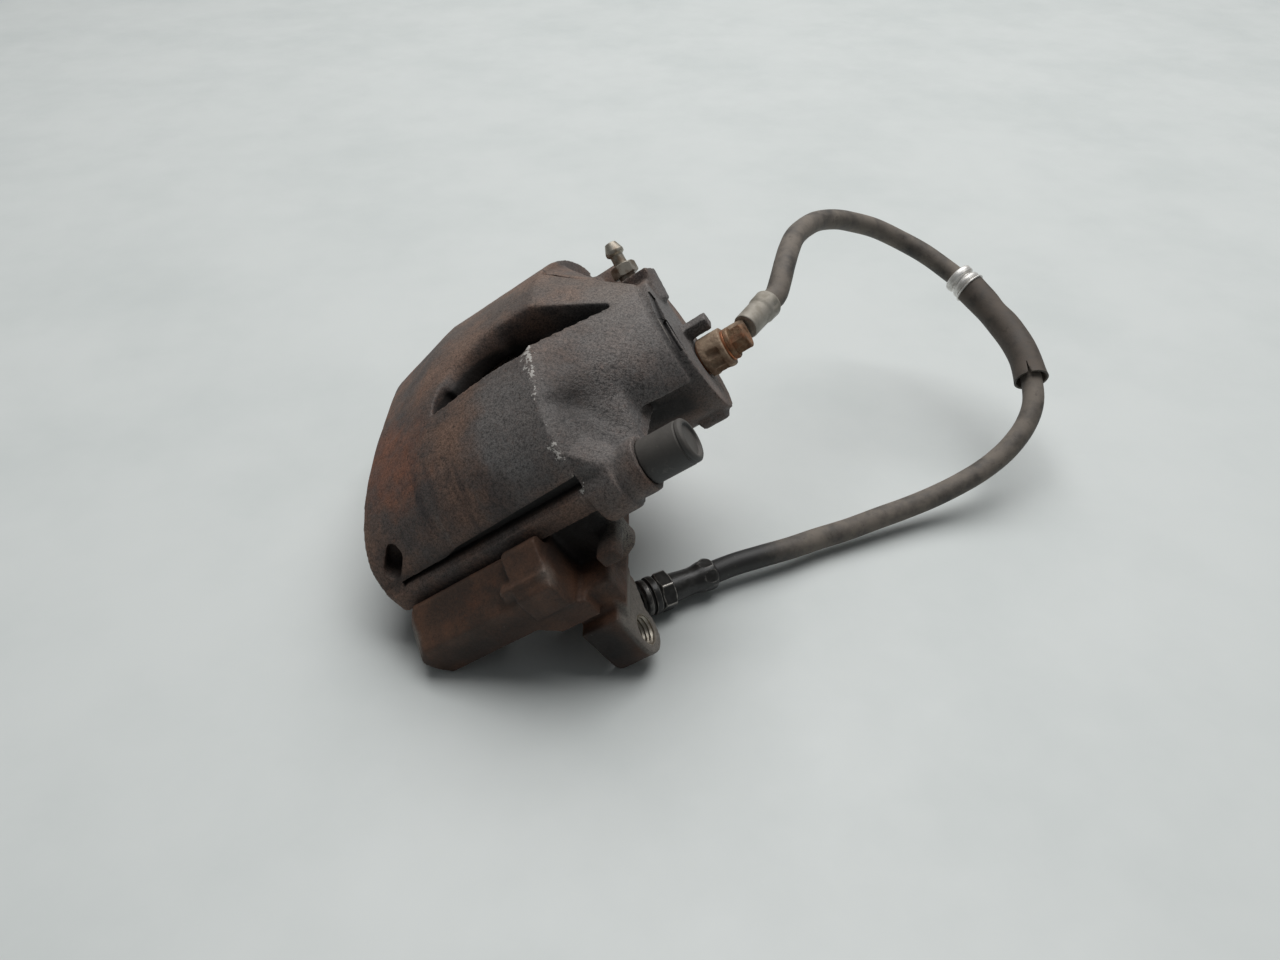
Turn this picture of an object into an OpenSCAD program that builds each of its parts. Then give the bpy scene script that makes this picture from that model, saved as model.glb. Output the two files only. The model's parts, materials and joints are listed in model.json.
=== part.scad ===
// Single-piston floating brake caliper on its carrier, with pads, guide pins and flexible hose.
// The castings are drawn in the caliper's own axes and then stood on the bench, bridge up:
// x runs along the piston from the outboard to the inboard side, y along the pads, z away from the wheel axle.

/* [Disc and pads] */
// Radius of the brake disc that the caliper straddles
disc_r = 130; // [124:1:134]
// Thickness of the brake disc
disc_t = 25; // [20:1:28]
// Height of the piston axis above the wheel axle
axle_drop = 104; // [100:1:108]
// Clearance between the disc's rim and the castings
rim_gap = 2.5; // [2:0.5:4]
// Clearance between each lining and the disc
face_gap = 0.5; // [0.3:0.1:1]
// Thickness of a friction lining
lining_t = 14; // [8:1:15]
// Thickness of a pad's backing plate
plate_t = 6; // [4:0.5:7]
// Length of a pad between the carrier's abutments
pad_l = 152; // [146:1:153]
// Lower edge of a pad, below the piston axis
pad_drop = 28; // [24:1:29]
// Height of a pad's ears
ear_h = 10; // [8:1:12]
// How far a pad's ear reaches into the carrier
ear_reach = 8; // [6:1:9]
// Side clearance of a pad in the carrier
pad_gap = 0.3; // [0.2:0.05:0.6]

/* [Housing] */
// Height of the bridge above the piston axis
bridge_top = 61; // [58:1:64]
// Width of the bridge over its side ledges
bridge_w = 184; // [182:1:188]
// Thickness of the outboard fingers
finger_t = 16; // [13:1:20]
// Width across the outboard fingers
finger_w = 124; // [110:2:140]
// Lower end of the fingers, below the piston axis
finger_drop = 26; // [20:1:27]
// Width of the tool gap between the two fingers
finger_gap = 42; // [34:1:50]
// Height of the side ledges
ledge_h = 12.5; // [11:0.5:14]
// Depth of the groove above each side ledge
ledge_groove = 2.5; // [1:0.5:4]
// Lower face of the bridge, above the piston axis
bridge_base = 3.5; // [3:0.5:5]
// Thickness of the bridge above the pads
bridge_t = 15; // [12:1:18]
// How far the outboard face bulges past the fingers
face_bulge = 3; // [2:0.5:6]
// Slope of the crown down to the outboard face
crown_fall = 12; // [8:1:15]
// Length of the bridge window
window_l = 54; // [44:1:56]
// Width of the bridge window
window_w = 37; // [28:1:40]

/* [Cylinder and piston] */
// Diameter of the piston
piston_d = 54; // [50:1:56]
// Radial clearance of the piston in its bore
piston_gap = 0.05; // [0.02:0.01:0.08]
// Length of the piston
piston_l = 48; // [44:1:50]
// Wall of the piston's cup
piston_wall = 6; // [5:0.5:8]
// Outside diameter of the cylinder
cylinder_d = 71; // [70:0.5:74]
// Depth of the cylinder bore
bore_depth = 60; // [58:1:64]
// Thickness of the cylinder's back wall
back_t = 9; // [8:1:11]
// Lean of the cylinder's back face, which leaves the near side longer
back_lean = 9; // [4:1:9]
// Width of the piston seal
seal_w = 3.6; // [3:0.2:4.4]
// Radial height of the piston seal
seal_h = 3; // [2.4:0.2:3.4]
// Length of the dust boot's seat in the cylinder mouth
boot_seat = 4; // [3:0.5:5]

/* [Guide pins] */
// Distance between the two guide pins
pin_span = 160; // [156:1:161]
// Height of the guide pins above the piston axis
pin_z = 5; // [3:0.5:7]
// Diameter of a guide pin's sliding shank
pin_d = 11; // [9:0.5:12]
// Thread diameter of a guide pin
pin_thread_d = 9; // [7:0.5:9]
// Length of thread in the carrier
pin_thread_l = 20; // [16:1:22]
// Length of the sliding shank
pin_shank_l = 16; // [14:1:17]
// Radial clearance between a guide pin and its bush
pin_gap = 0.05; // [0.02:0.01:0.08]
// Wall of a rubber guide bush
bush_wall = 3.4; // [2.6:0.2:4]
// Length of a housing ear along its guide pin
ear_l = 25; // [22:1:27]
// Diameter of a housing ear at its carrier end
ear_d = 30; // [28:1:34]
// Diameter of a pin cap
cap_d = 19.6; // [18:0.2:21]
// Length of a pin cap outside the ear
cap_l = 21; // [20:0.5:24]
// Wall of a pin cap
cap_wall = 2; // [1.4:0.2:2.6]

/* [Carrier] */
// Half width of the carrier over its arms
arm_half = 112; // [110:1:114]
// Lower face of the arms, below the piston axis
arm_drop = 24; // [22:0.5:25]
// Outboard toe of the arms that stands on the bench
arm_toe = 41; // [38:1:44]
// Distance between the two mounting holes
mount_span = 200; // [196:1:204]
// Depth of the mounting holes below the piston axis
mount_drop = 58; // [56:1:60]
// Thread diameter of the mounting holes
mount_d = 14; // [10:1:14]
// Thickness of a mounting ear
mount_t = 19; // [17:1:21]
// Wall around a mounting hole
mount_wall = 4.5; // [3.5:0.5:6]
// Thickness of the cross bar between the ears
bar_t = 12; // [10:1:16]
// Height of the cross bar
bar_h = 14; // [12:1:15]

/* [Bleed screw] */
// Angle of the bleed screw from the bridge's middle
bleed_angle = 33; // [25:1:40]
// Width across the flats of the bleed screw's hexagon
bleed_af = 11; // [9:1:11]
// Length of the bleed screw above its boss
bleed_l = 19; // [17:1:22]
// Thread diameter of the bleed screw
bleed_thread_d = 8; // [6:0.5:9]

/* [Hose fittings] */
// Diameter of the banjo ring
banjo_d = 19; // [17:0.5:20]
// Thickness of the banjo ring
banjo_t = 12; // [10:0.5:13]
// Thread diameter of the banjo bolt
banjo_thread_d = 10; // [8:0.5:10]
// Width across the flats of the banjo bolt's hexagon
banjo_af = 12; // [10:0.5:13]
// Thickness of a sealing washer
washer_t = 1.2; // [1:0.1:2]
// Diameter of the brake hose
hose_d = 11; // [9:0.5:12]
// Wall of the crimped ferrules on the hose
crimp_wall = 1.8; // [1.4:0.2:2.4]
// Wall of the rubber sleeve on the hose
sleeve_wall = 3.2; // [2.4:0.2:3.6]
// Radial height of the support ring on the hose
ring_wall = 2.4; // [1.8:0.2:3]

/* [Hidden] */
$fn = 64;

// The pads set the throat: the fingers back the outer pad and the piston backs the inner one
lining_x = disc_t / 2 + face_gap;
plate_x = lining_x + lining_t;
throat = plate_x + plate_t;
rim_r = disc_r + rim_gap;
pad_half = pad_l / 2;
ear_top = -6;
housing_out = -throat - finger_t;
seat_gap = 0.2;
mouth = throat + 3;
back = mouth + bore_depth + back_t;
bore_r = piston_d / 2;
piston_r = bore_r - piston_gap;
cylinder_r = cylinder_d / 2;
piston_front = throat + seat_gap;
seal_x = mouth + boot_seat + 3;
boot_r = bore_r + 4.5;

// Guide pins stand in the carrier's bosses and slide in the housing's ears
pin_y = pin_span / 2;
boss_face = mouth + 22;
boss_r = 8.5;
boss_gap = 0.7;
slide_travel = 10;
ear_x = boss_face + 1;
ear_end = ear_x + ear_l;
far_ear_end = ear_x + 16;
pin_r = pin_d / 2;
bush_r = pin_r + pin_gap + bush_wall;
cap_collar = 4;
cap_r = cap_d / 2;

// The carrier stands on its two arm toes and its two ear toes, which set the tilt
mount_y = mount_span / 2;
mount_face = mouth + 4;
tongue_r = mount_d / 2 + mount_wall;
leg_half = mount_y + tongue_r + 0.5;
ear_toe_x = mount_face - mount_t;
ear_toe_z = -mount_drop - 9;
tilt = atan((-arm_drop - ear_toe_z) / (ear_toe_x + arm_toe));
stand_h = arm_toe * sin(tilt) + arm_drop * cos(tilt);
abutment_top = bridge_base - 1;
bridge_half = bridge_w / 2;
crown_bend = 5;
window_x = 4;
window_y = -45;

// Ports on the cylinder
bleed_x = back - 11.5;
bleed_boss_r = cylinder_r + 4.5;
port_y = -4;
port_z = -9;
port_seat = back + 1;
ring_x = port_seat + washer_t;
ring_end = ring_x + banjo_t;
flange_x = ring_end + washer_t;
bolt_end = flange_x + 9.5;
bolt_gap = 0.3;
lug_y = 4;
lug_z = sqrt(pow(banjo_d / 2 + 2 * bolt_gap, 2) - pow(lug_y, 2));
lug_t = 7;

// The part's origin is midway between its outboard shoulder and the banjo bolt's head
stand_x = -26.9;

// Route of the hose along its middle, on the bench's own axes, after its start on the banjo's neck
bends = [
  [105, 42, 114], [108, 54, 116], [112, 69, 117], [117, 84, 117], [125, 100, 115],
  [134, 114, 112], [146, 125, 108], [159, 134, 102], [173, 139, 96], [188, 139, 89], [202, 134, 83],
  [214, 126, 77], [226, 114, 71], [235, 100, 65], [243, 84, 59], [247, 68, 54], [248, 53, 48],
  [246, 39, 42], [240, 28, 35], [230, 18, 28], [218, 10, 22], [204, 3, 17], [188, -4, 13],
  [172, -11, 11], [156, -18, 10], [140, -25, 9], [124, -32, 9], [109, -39.5, 9.5], [95, -45.5, 10],
  [82, -51, 10.2], [70.5, -57, 10.2]
];
ring_at = 14;
sleeve_to = 18;
neck_root = [ring_x + banjo_t / 2, port_y, port_z];
neck_bend = neck_root + [0, 11.2, -2.2];
neck_tip = neck_root + [15.3, 13.5, -3.5];
neck_turn = 55;
neck_dip = 11;
neck_way = [cos(neck_dip) * cos(neck_turn), cos(neck_dip) * sin(neck_turn), -sin(neck_dip)];
ferrule_l = 22;
ferrule_set = -1;
hose_start = neck_tip + (ferrule_set + ferrule_l) * neck_way;
start_way = [
  cos(tilt) * neck_way[0] - sin(tilt) * neck_way[2],
  neck_way[1],
  sin(tilt) * neck_way[0] + cos(tilt) * neck_way[2]
];
start = [
  stand_x + cos(tilt) * hose_start[0] - sin(tilt) * hose_start[2],
  hose_start[1],
  stand_h + sin(tilt) * hose_start[0] + cos(tilt) * hose_start[2]
];
route = concat([start, start + 7 * start_way], bends);
end_ferrule_l = 23.5;
end_fitting_l = 15.7;

// Stands the caliper on the bench
module on_bench() {
  translate([stand_x, 0, stand_h])
    rotate([0, -tilt, 0])
      children();
}

// Extrudes a side view, drawn in x and z, evenly about the middle
module side_plate(w) {
  rotate([90, 0, 0])
    linear_extrude(w, center = true)
      children();
}

// Extrudes an end view, drawn in y and z, from x0 to x1
module end_plate(x0, x1) {
  translate([x0, 0, 0])
    rotate([90, 0, 90])
      linear_extrude(x1 - x0)
        children();
}

// A round bar along x from x0 to x1
module bar_x(x0, x1, r) {
  translate([x0, 0, 0])
    rotate([0, 90, 0])
      cylinder(h = x1 - x0, r = r);
}

// A box between two corners
module box(low, high) {
  translate(low)
    cube(high - low);
}

// Both sides of the caliper
module both_sides() {
  children();
  mirror([0, 1, 0])
    children();
}

// The round space that the disc's rim and its clearance sweep
module rim_space(x0, x1) {
  translate([0, 0, -axle_drop])
    bar_x(x0, x1, rim_r, $fn = 160);
}

// A point on a rounded shoulder, from flat (a = 90) to upright (a = 0)
function shoulder(a, w, h, n) = [w * pow(cos(a), 2 / n), h * pow(sin(a), 2 / n)];

// End view of the bridge: a broad crown with rounded shoulders over its ledges, fuller on the near side
module bridge_end_view() {
  ledge_z = bridge_base + ledge_h;
  crown = bridge_top - ledge_z;
  half = bridge_half - ledge_groove;
  far_side = [for (a = [0 : 7.5 : 90]) shoulder(a, half, crown, 1.8)];
  near_side = [for (a = [82.5 : -7.5 : 0]) shoulder(a, -half, crown, 2.15)];
  translate([0, ledge_z])
    polygon(concat(far_side, near_side));
}

// Side view of the bridge: a level top that rounds down into a face that leans back below
module bridge_side_view() {
  brow = 16;
  run = 52;
  face = housing_out - face_bulge;
  curve = [for (a = [0 : 7.5 : 90]) shoulder(a, run, bridge_top - brow, 2.5)];
  outer = [for (p = curve) [face + run - p[0], brow + p[1]]];
  lean = [[ear_x, bridge_base], [face + 2, bridge_base]];
  polygon(concat(lean, outer, [[ear_x, bridge_top]]));
}

// Plan of the bridge: a bowed outboard face with rounded corners
module bridge_plan() {
  run = 40;
  face = housing_out - face_bulge;
  right = [for (a = [0 : 7.5 : 90]) shoulder(a, bridge_half, run, 14)];
  corner = [for (p = right) [face + run - p[1], p[0]]];
  mirrored = [for (i = [len(corner) - 2 : -1 : 0]) [corner[i][0], -corner[i][1]]];
  polygon(concat([[ear_x, bridge_half]], corner, mirrored, [[ear_x, -bridge_half]]));
}

// The crowned bridge with its two side ledges
module bridge() {
  ledge_z = bridge_base + ledge_h;
  face = housing_out - face_bulge;
  intersection() {
    side_plate(bridge_w)
      bridge_side_view();
    linear_extrude(bridge_top)
      bridge_plan();
    union() {
      intersection() {
        end_plate(face, ear_x)
          bridge_end_view();
        translate([crown_bend, 0, 0])
          rotate([0, -crown_fall, 0])
            end_plate(-90, 90) {
              bridge_end_view();
              translate([ledge_groove - bridge_half, -60])
                square([bridge_w - 2 * ledge_groove, 60 + ledge_z]);
            }
      }
      box([face, -bridge_half + ledge_groove, bridge_base],
          [ear_x, bridge_half - ledge_groove, ledge_z]);
      box([face, -bridge_half, bridge_base], [ear_x, bridge_half, ledge_z - ledge_groove]);
    }
  }
}

// Two fingers that back the outer pad, with a gap for the boring tool
module fingers() {
  half = finger_w / 2;
  gap = finger_gap / 2;
  intersection() {
    end_plate(housing_out, -throat)
      difference() {
        polygon([
          [-half, 24], [-half, -8], [12 - half, -finger_drop], [half - 12, -finger_drop], [half, -8], [half, 24]
        ]);
        translate([0, -finger_drop])
          square([2 * gap, 12], center = true);
        translate([0, 6 - finger_drop])
          circle(gap);
      }
    side_plate(finger_w + 2)
      polygon([[housing_out, 30], [housing_out, 16 - finger_drop], [-throat, -finger_drop], [-throat, 30]]);
  }
}

// The neck that draws the bridge in to the cylinder
module neck() {
  hull() {
    end_plate(ear_x - 2, ear_x)
      intersection() {
        bridge_end_view();
        translate([-66, 22])
          square([94, 60]);
      }
    translate([back, 0, 0])
      rotate([0, 0, back_lean])
        intersection() {
          bar_x(-7, -5, cylinder_r + 2, $fn = 48);
          box([-8, -cylinder_d, 3], [0, 8, cylinder_d]);
        }
  }
}

// The skin between the neck and the near ear, over the open pocket beside the cylinder
module neck_web() {
  rim_x = ear_end;
  hull() {
    end_plate(ear_x - 2, ear_x)
      intersection() {
        bridge_end_view();
        translate([4 - bridge_half, 16])
          square([54, 60]);
      }
    box([rim_x - 3, -cylinder_r - 2, 0], [rim_x, -cylinder_r, 3.5]);
    box([rim_x - 8, 11 - pin_y, pin_z], [rim_x - 1, 13 - pin_y, pin_z + 6]);
  }
}

// One ear with the wall that joins it to the bridge
module housing_ear(end, web_top) {
  hull() {
    end_plate(ear_x - 2, ear_x)
      polygon([
        [-bridge_half + 4, 16], [-bridge_half + 8, web_top - 10], [-66, web_top], [-50, web_top], [-50, 18]
      ]);
    translate([0, -pin_y, pin_z])
      bar_x(ear_x, end - 8, bush_r + 3, $fn = 32);
  }
  translate([0, -pin_y, pin_z]) {
    bar_x(ear_x, ear_x + 14, ear_d / 2);
    bar_x(ear_x, end, bush_r + 3.5);
  }
}

// Round space under the bridge for the pads, the disc and the carrier's bosses
module throat_space() {
  rim_space(-throat, mouth);
  translate([0, 0, bridge_top - bridge_t - 62])
    bar_x(-throat, mouth, 62);
  both_sides()
    translate([0, pin_y, pin_z])
      bar_x(mouth - slide_travel, ear_x + 0.01, boss_r + boss_gap);
}

// Plan of the bridge window: a leaf that opens towards the cylinder
module window_plan() {
  spine = window_y + window_w;
  end = window_x + window_l;
  leaf = [for (a = [0 : 15 : 90]) [window_x + 34 * (1 - cos(a)), window_y + window_w * sin(a)]];
  polygon(concat(leaf, [[end - 6, spine], [end - 2, spine - 4], [end - 2, window_y + 4], [end - 8, window_y]]));
}

// The bridge window: open to the pads outboard, floored over the cylinder, with a sloped scoop at its end
module bridge_window() {
  spine = window_y + window_w;
  end = window_x + window_l;
  floor_z = cylinder_r + 3;
  translate([0, 0, bridge_base])
    linear_extrude(bridge_top)
      intersection() {
        window_plan();
        translate([0, window_y - 1])
          square([mouth - 2, window_w + 2]);
      }
  translate([0, 0, floor_z])
    linear_extrude(bridge_top)
      window_plan();
  hull() {
    box([end - 8, window_y + 3, 44], [end - 6, spine, bridge_top + 5]);
    box([end + 30, spine - 6, cylinder_r + 5], [end + 31, spine - 3, bridge_top + 5]);
  }
}

// Groove above a side ledge, which opens inboard, and the empty hole for the pad spring at its outboard end
module ledge_cuts() {
  ledge_z = bridge_base + ledge_h;
  depth = 8.5;
  hole_r = 3.8;
  hole_l = 7;
  translate([0, bridge_half + 1, 0])
    rotate([90, 0, 0])
      linear_extrude(depth)
        polygon([
          [-38, ledge_z - 1], [-38, ledge_z + 0.4], [-10, ledge_z + 0.8], [-4, ledge_z + 2.4],
          [ear_x - 1, ledge_z + 4.6], [ear_x - 1, ledge_z - 1]
        ]);
  translate([-40, bridge_half + 2, ledge_z + 6])
    rotate([90, 0, 0])
      linear_extrude(20)
        rotate(45) {
          circle(hole_r);
          translate([0, -hole_r])
            square([hole_l, 2 * hole_r]);
          translate([hole_l, 0])
            circle(hole_r);
        }
}

// Pocket beside the cylinder that lightens the inboard wall
module wall_pocket() {
  box([mouth - 1, cylinder_r + 4, bridge_base - 1], [ear_x + 1, pin_y - boss_r - 4, 30]);
}

// Cylinder with a leaning back, and a lobe low on its near side
module cylinder_body() {
  far = back + cylinder_d * tan(back_lean);
  lobe_r = 9;
  difference() {
    union() {
      bar_x(mouth, far, cylinder_r);
      translate([0, -18, -24])
        bar_x(back - 13, back, lobe_r);
    }
    translate([back, 0, 0])
      rotate([0, 0, back_lean])
        box([0, -cylinder_d, -cylinder_d], [cylinder_d, cylinder_d, cylinder_d]);
  }
}

// Everything that is bored out of the cylinder
module cylinder_bores() {
  bar_x(mouth - 1, mouth + bore_depth, bore_r);
  bar_x(mouth - 1, mouth + boot_seat, boot_r);
  bar_x(seal_x, seal_x + seal_w + 0.4, bore_r + seal_h + 0.2);
}

// Places a piece at the bleed port, pointing outwards from the cylinder's axis
module at_bleed() {
  translate([bleed_x, 0, 0])
    rotate([-bleed_angle, 0, 0])
      children();
}

// Places a piece at the hose port, pointing inboard
module at_port() {
  translate([0, port_y, port_z])
    children();
}

// The sliding housing with its fingers, cylinder and ears
module caliper_housing() {
  color("#4a3a30")
    on_bench()
      difference() {
        union() {
          bridge();
          fingers();
          neck();
          neck_web();
          housing_ear(ear_end, 42);
          mirror([0, 1, 0])
            housing_ear(far_ear_end, 30);
          cylinder_body();
          at_bleed()
            box([-9, -8, cylinder_r - 12], [back - bleed_x, 8, bleed_boss_r]);
          at_port() {
            bar_x(back - 4, port_seat, banjo_d / 2 + 1.5);
            box([back - 4, lug_y, lug_z], [ring_end - 2, lug_y + lug_t, lug_z + lug_t]);
          }
        }
        throat_space();
        cylinder_bores();
        bridge_window();
        both_sides() {
          wall_pocket();
          ledge_cuts();
          translate([0, pin_y, pin_z])
            bar_x(ear_x - 1, ear_end + 1, bush_r);
        }
        at_port() {
          bar_x(mouth + bore_depth - 1, port_seat + 1, banjo_thread_d / 2);
          bar_x(port_seat, ring_end, banjo_d / 2 + bolt_gap);
        }
        at_bleed()
          translate([0, 0, bore_r - 3])
            cylinder(h = bleed_boss_r, r = bleed_thread_d / 2 + bolt_gap);
      }
}

// End view of one carrier arm, which bends over the disc's rim
module arm_end_view() {
  inner = pad_half + pad_gap;
  lip = bridge_half + 1;
  polygon([
    [inner, abutment_top], [lip, abutment_top], [lip, 7], [lip + 4, 8], [arm_half, -5.5],
    [arm_half - 2, -arm_drop], [inner, -arm_drop]
  ]);
}

// Side view of one carrier leg, from the pad's abutment down to the mounting ear
module leg_side_view() {
  polygon([
    [lining_x - 6, abutment_top], [lining_x - 6, -arm_drop], [lining_x + 2, -31], [ear_toe_x, -33],
    [ear_toe_x, ear_toe_z], [mount_face, -mount_drop - tongue_r], [mount_face, -50], [mount_face + 1, -44],
    [mount_face + 4, -37], [boss_face - 8, -29.5], [boss_face - 1, -26], [boss_face, -24], [boss_face, -8],
    [mouth, -8], [mouth, abutment_top]
  ]);
}

// One side of the carrier: arm, abutment, leg, guide pin boss and mounting ear
module carrier_side() {
  inner = pad_half + pad_gap;
  difference() {
    union() {
      intersection() {
        end_plate(-arm_toe - 8, plate_x)
          arm_end_view();
        side_plate(2 * arm_half)
          polygon([
            [-arm_toe, -arm_drop], [-arm_toe - 5, 9 - arm_drop], [-arm_toe - 6, 0], [-arm_toe + 4, 10],
            [plate_x, 10], [plate_x, -arm_drop]
          ]);
      }
      end_plate(lining_x, throat - 2)
        polygon([[bridge_half + 1, -18], [bridge_half + 1, 9], [bridge_half + 6, 11], [arm_half + 2, -3],
                 [arm_half + 2, -16], [arm_half - 4, -20]]);
      intersection() {
        side_plate(2 * leg_half)
          leg_side_view();
        union() {
          box([-20, inner, -31], [throat + 2, mount_y + 10, 20]);
          box([-20, inner, -44], [mouth + 10, mount_y + 4, 20]);
          box([-20, inner, -16], [boss_face, mount_y + 4, 20]);
          box([-20, inner, -44], [boss_face, pin_y + boss_r - 2, 20]);
          end_plate(ear_toe_x - 10, mount_face) {
            translate([mount_y, -mount_drop])
              circle(tongue_r);
            polygon([
              [mount_y - tongue_r, -mount_drop], [mount_y + tongue_r, -mount_drop],
              [mount_y + tongue_r, -36], [inner, -36], [inner, -mount_drop + 10]
            ]);
          }
        }
      }
      box([mouth, pin_y - boss_r, -14], [boss_face, pin_y + boss_r - 2, abutment_top]);
      translate([0, pin_y, pin_z])
        bar_x(mouth, boss_face, boss_r);
    }
    translate([-arm_toe - 5, arm_half - 14, 0])
      rotate([0, 54, 146])
        box([-30, -30, 0], [30, 30, 30]);
    rim_space(-lining_x - 1, lining_x + 1);
    box([throat - 1.5, pin_y + boss_r - 2, -20], [mouth + 12, arm_half + 10, 20]);
    box([-throat - 20, inner - 1, ear_top - ear_h - pad_gap],
        [throat + 2, inner + ear_reach, ear_top + pad_gap]);
    translate([0, pin_y, pin_z])
      bar_x(boss_face - pin_thread_l - 1, boss_face + 1, pin_thread_d / 2);
    translate([0, mount_y, -mount_drop])
      bar_x(ear_toe_x - 12, mount_face + 1, mount_d / 2);
  }
}

// The fixed carrier that bolts to the hub
module carrier() {
  color("#5c4031")
    on_bench() {
      both_sides()
        carrier_side();
      box([ear_toe_x, -pad_half - 8, -40 - bar_h], [ear_toe_x + bar_t, pad_half + 8, -40]);
    }
}

// The two guide pins, screwed into the carrier
module guide_pins() {
  socket_af = 7;
  color("#8c8a84")
    on_bench()
      both_sides()
        translate([0, pin_y, pin_z])
          difference() {
            union() {
              bar_x(boss_face - pin_thread_l, boss_face, pin_thread_d / 2);
              bar_x(boss_face, boss_face + pin_shank_l, pin_r);
            }
            bar_x(boss_face + pin_shank_l - 8, boss_face + pin_shank_l + 1, socket_af / sqrt(3), $fn = 6);
          }
}

// A rubber bush on the guide pin's own axis
module bush(end) {
  difference() {
    bar_x(ear_x, end, bush_r);
    bar_x(ear_x - 1, end + 1, pin_r + pin_gap);
  }
}

// The rubber bushes in the housing's ears
module guide_bushes() {
  color("#202020")
    on_bench() {
      translate([0, -pin_y, pin_z])
        bush(ear_end - cap_collar);
      translate([0, pin_y, pin_z])
        bush(far_ear_end);
    }
}

// The plastic cap that closes the near guide pin's bore; the far one is lost
module pin_caps() {
  color("#3b3b3b")
    on_bench()
      translate([0, -pin_y, pin_z])
        rotate([0, 90, 0])
          difference() {
            rotate_extrude()
              polygon([
                [0, ear_end - cap_collar], [bush_r, ear_end - cap_collar], [bush_r, ear_end], [cap_r, ear_end],
                [cap_r, ear_end + cap_l - 2], [cap_r - 0.6, ear_end + cap_l - 2],
                [cap_r - 0.6, ear_end + cap_l - 1], [cap_r - 1.6, ear_end + cap_l], [0, ear_end + cap_l]
              ]);
            translate([0, 0, ear_end - cap_collar - 1])
              cylinder(h = cap_l + cap_collar + 1 - cap_wall, r = bush_r - cap_wall);
          }
}

// The hollow piston
module piston() {
  color("#b9b6ae")
    on_bench()
      difference() {
        bar_x(piston_front, piston_front + piston_l, piston_r);
        bar_x(piston_front - 1, piston_front + piston_l - piston_wall - 2, piston_r - piston_wall);
      }
}

// The square seal that draws the piston back
module piston_seal() {
  color("#1c1c1c")
    on_bench()
      difference() {
        bar_x(seal_x + 0.2, seal_x + 0.2 + seal_w, bore_r + seal_h);
        bar_x(seal_x - 1, seal_x + seal_w + 1, bore_r);
      }
}

// The folded dust boot between the cylinder's mouth and the piston
module dust_boot() {
  seat_r = boot_r - 0.1;
  color("#262626")
    on_bench()
      rotate([0, 90, 0])
        rotate_extrude()
          polygon([
            [bore_r, mouth - 2], [bore_r + 1.6, mouth - 2.6], [bore_r + 3, mouth - 1.2], [seat_r, mouth - 1.2],
            [seat_r, mouth + boot_seat - 0.1], [seat_r - 1.6, mouth + boot_seat - 0.1],
            [seat_r - 1.6, mouth + 0.4], [bore_r + 1.8, mouth + 0.4], [bore_r, mouth - 0.6]
          ]);
}

// Outline of a pad inside the disc's rim
module pad_outline(inset) {
  intersection() {
    translate([0, -axle_drop])
      circle(disc_r - 2 - inset, $fn = 160);
    translate([inset * 3 - pad_half, inset - pad_drop])
      square([pad_l - inset * 6, pad_drop + 40]);
  }
}

// A backing plate with its two ears
module pad_plate_outline() {
  pad_outline(0);
  translate([-pad_half - ear_reach + 2 * pad_gap, ear_top - ear_h])
    square([pad_l + 2 * ear_reach - 4 * pad_gap, ear_h]);
}

// A friction lining with its middle slot
module pad_lining_outline() {
  slot_w = 3;
  difference() {
    pad_outline(2);
    translate([-slot_w / 2, -pad_drop - 1])
      square([slot_w, pad_drop + 50]);
  }
}

// Backing plate on the piston side
module inner_pad_plate() {
  color("#55524e")
    on_bench()
      end_plate(plate_x, throat)
        pad_plate_outline();
}

// Lining on the piston side
module inner_pad_lining() {
  color("#3a3836")
    on_bench()
      end_plate(lining_x, plate_x)
        pad_lining_outline();
}

// Backing plate on the finger side
module outer_pad_plate() {
  color("#55524e")
    on_bench()
      end_plate(-throat, -plate_x)
        pad_plate_outline();
}

// Lining on the finger side
module outer_pad_lining() {
  color("#3a3836")
    on_bench()
      end_plate(-plate_x, -lining_x)
        pad_lining_outline();
}

// The bleed screw with its hexagon and barbed nipple
module bleed_screw() {
  hex_z = bleed_boss_r + 2;
  hex_h = 5.5;
  tip = bleed_boss_r + bleed_l;
  bore_r_small = 1.2;
  color("#8b8478")
    on_bench()
      at_bleed()
        difference() {
          union() {
            translate([0, 0, bore_r + 1])
              cylinder(h = hex_z - bore_r - 1, r = bleed_thread_d / 2);
            translate([0, 0, hex_z])
              cylinder(h = hex_h, r = bleed_af / sqrt(3), $fn = 6);
            rotate_extrude()
              polygon([
                [0, hex_z], [3.2, hex_z], [3.2, tip - 6.5], [4.3, tip - 5.5], [4.3, tip - 4], [2.6, tip], [0, tip]
              ]);
          }
          translate([0, 0, hex_z])
            cylinder(h = bleed_l, r = bore_r_small);
        }
}

// The hollow bolt that holds the banjo to the cylinder
module banjo_bolt() {
  shank = banjo_thread_d / 2 - bolt_gap;
  color("#9c5a24")
    on_bench()
      at_port() {
        bar_x(mouth + bore_depth + 1, flange_x, shank);
        bar_x(flange_x, flange_x + 2, banjo_d / 2 - 2);
        bar_x(flange_x + 2, bolt_end, banjo_af / sqrt(3), $fn = 6);
      }
}

// The copper washers on both sides of the banjo
module sealing_washers() {
  color("#9a6a3c")
    on_bench()
      at_port()
        for (x = [port_seat, ring_end])
          difference() {
            bar_x(x, x + washer_t, banjo_d / 2 - 2);
            bar_x(x - 1, x + washer_t + 1, banjo_thread_d / 2);
          }
}

// Places a piece on the banjo's neck, pointing along the hose
module at_neck() {
  translate(neck_tip)
    rotate([0, neck_dip, neck_turn])
      children();
}

// A round rod from one point to another
module rod(p, q, r) {
  d = q - p;
  translate(p)
    rotate([0, acos(d[2] / norm(d)), atan2(d[1], d[0])])
      cylinder(h = norm(d), r = r);
}

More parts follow.
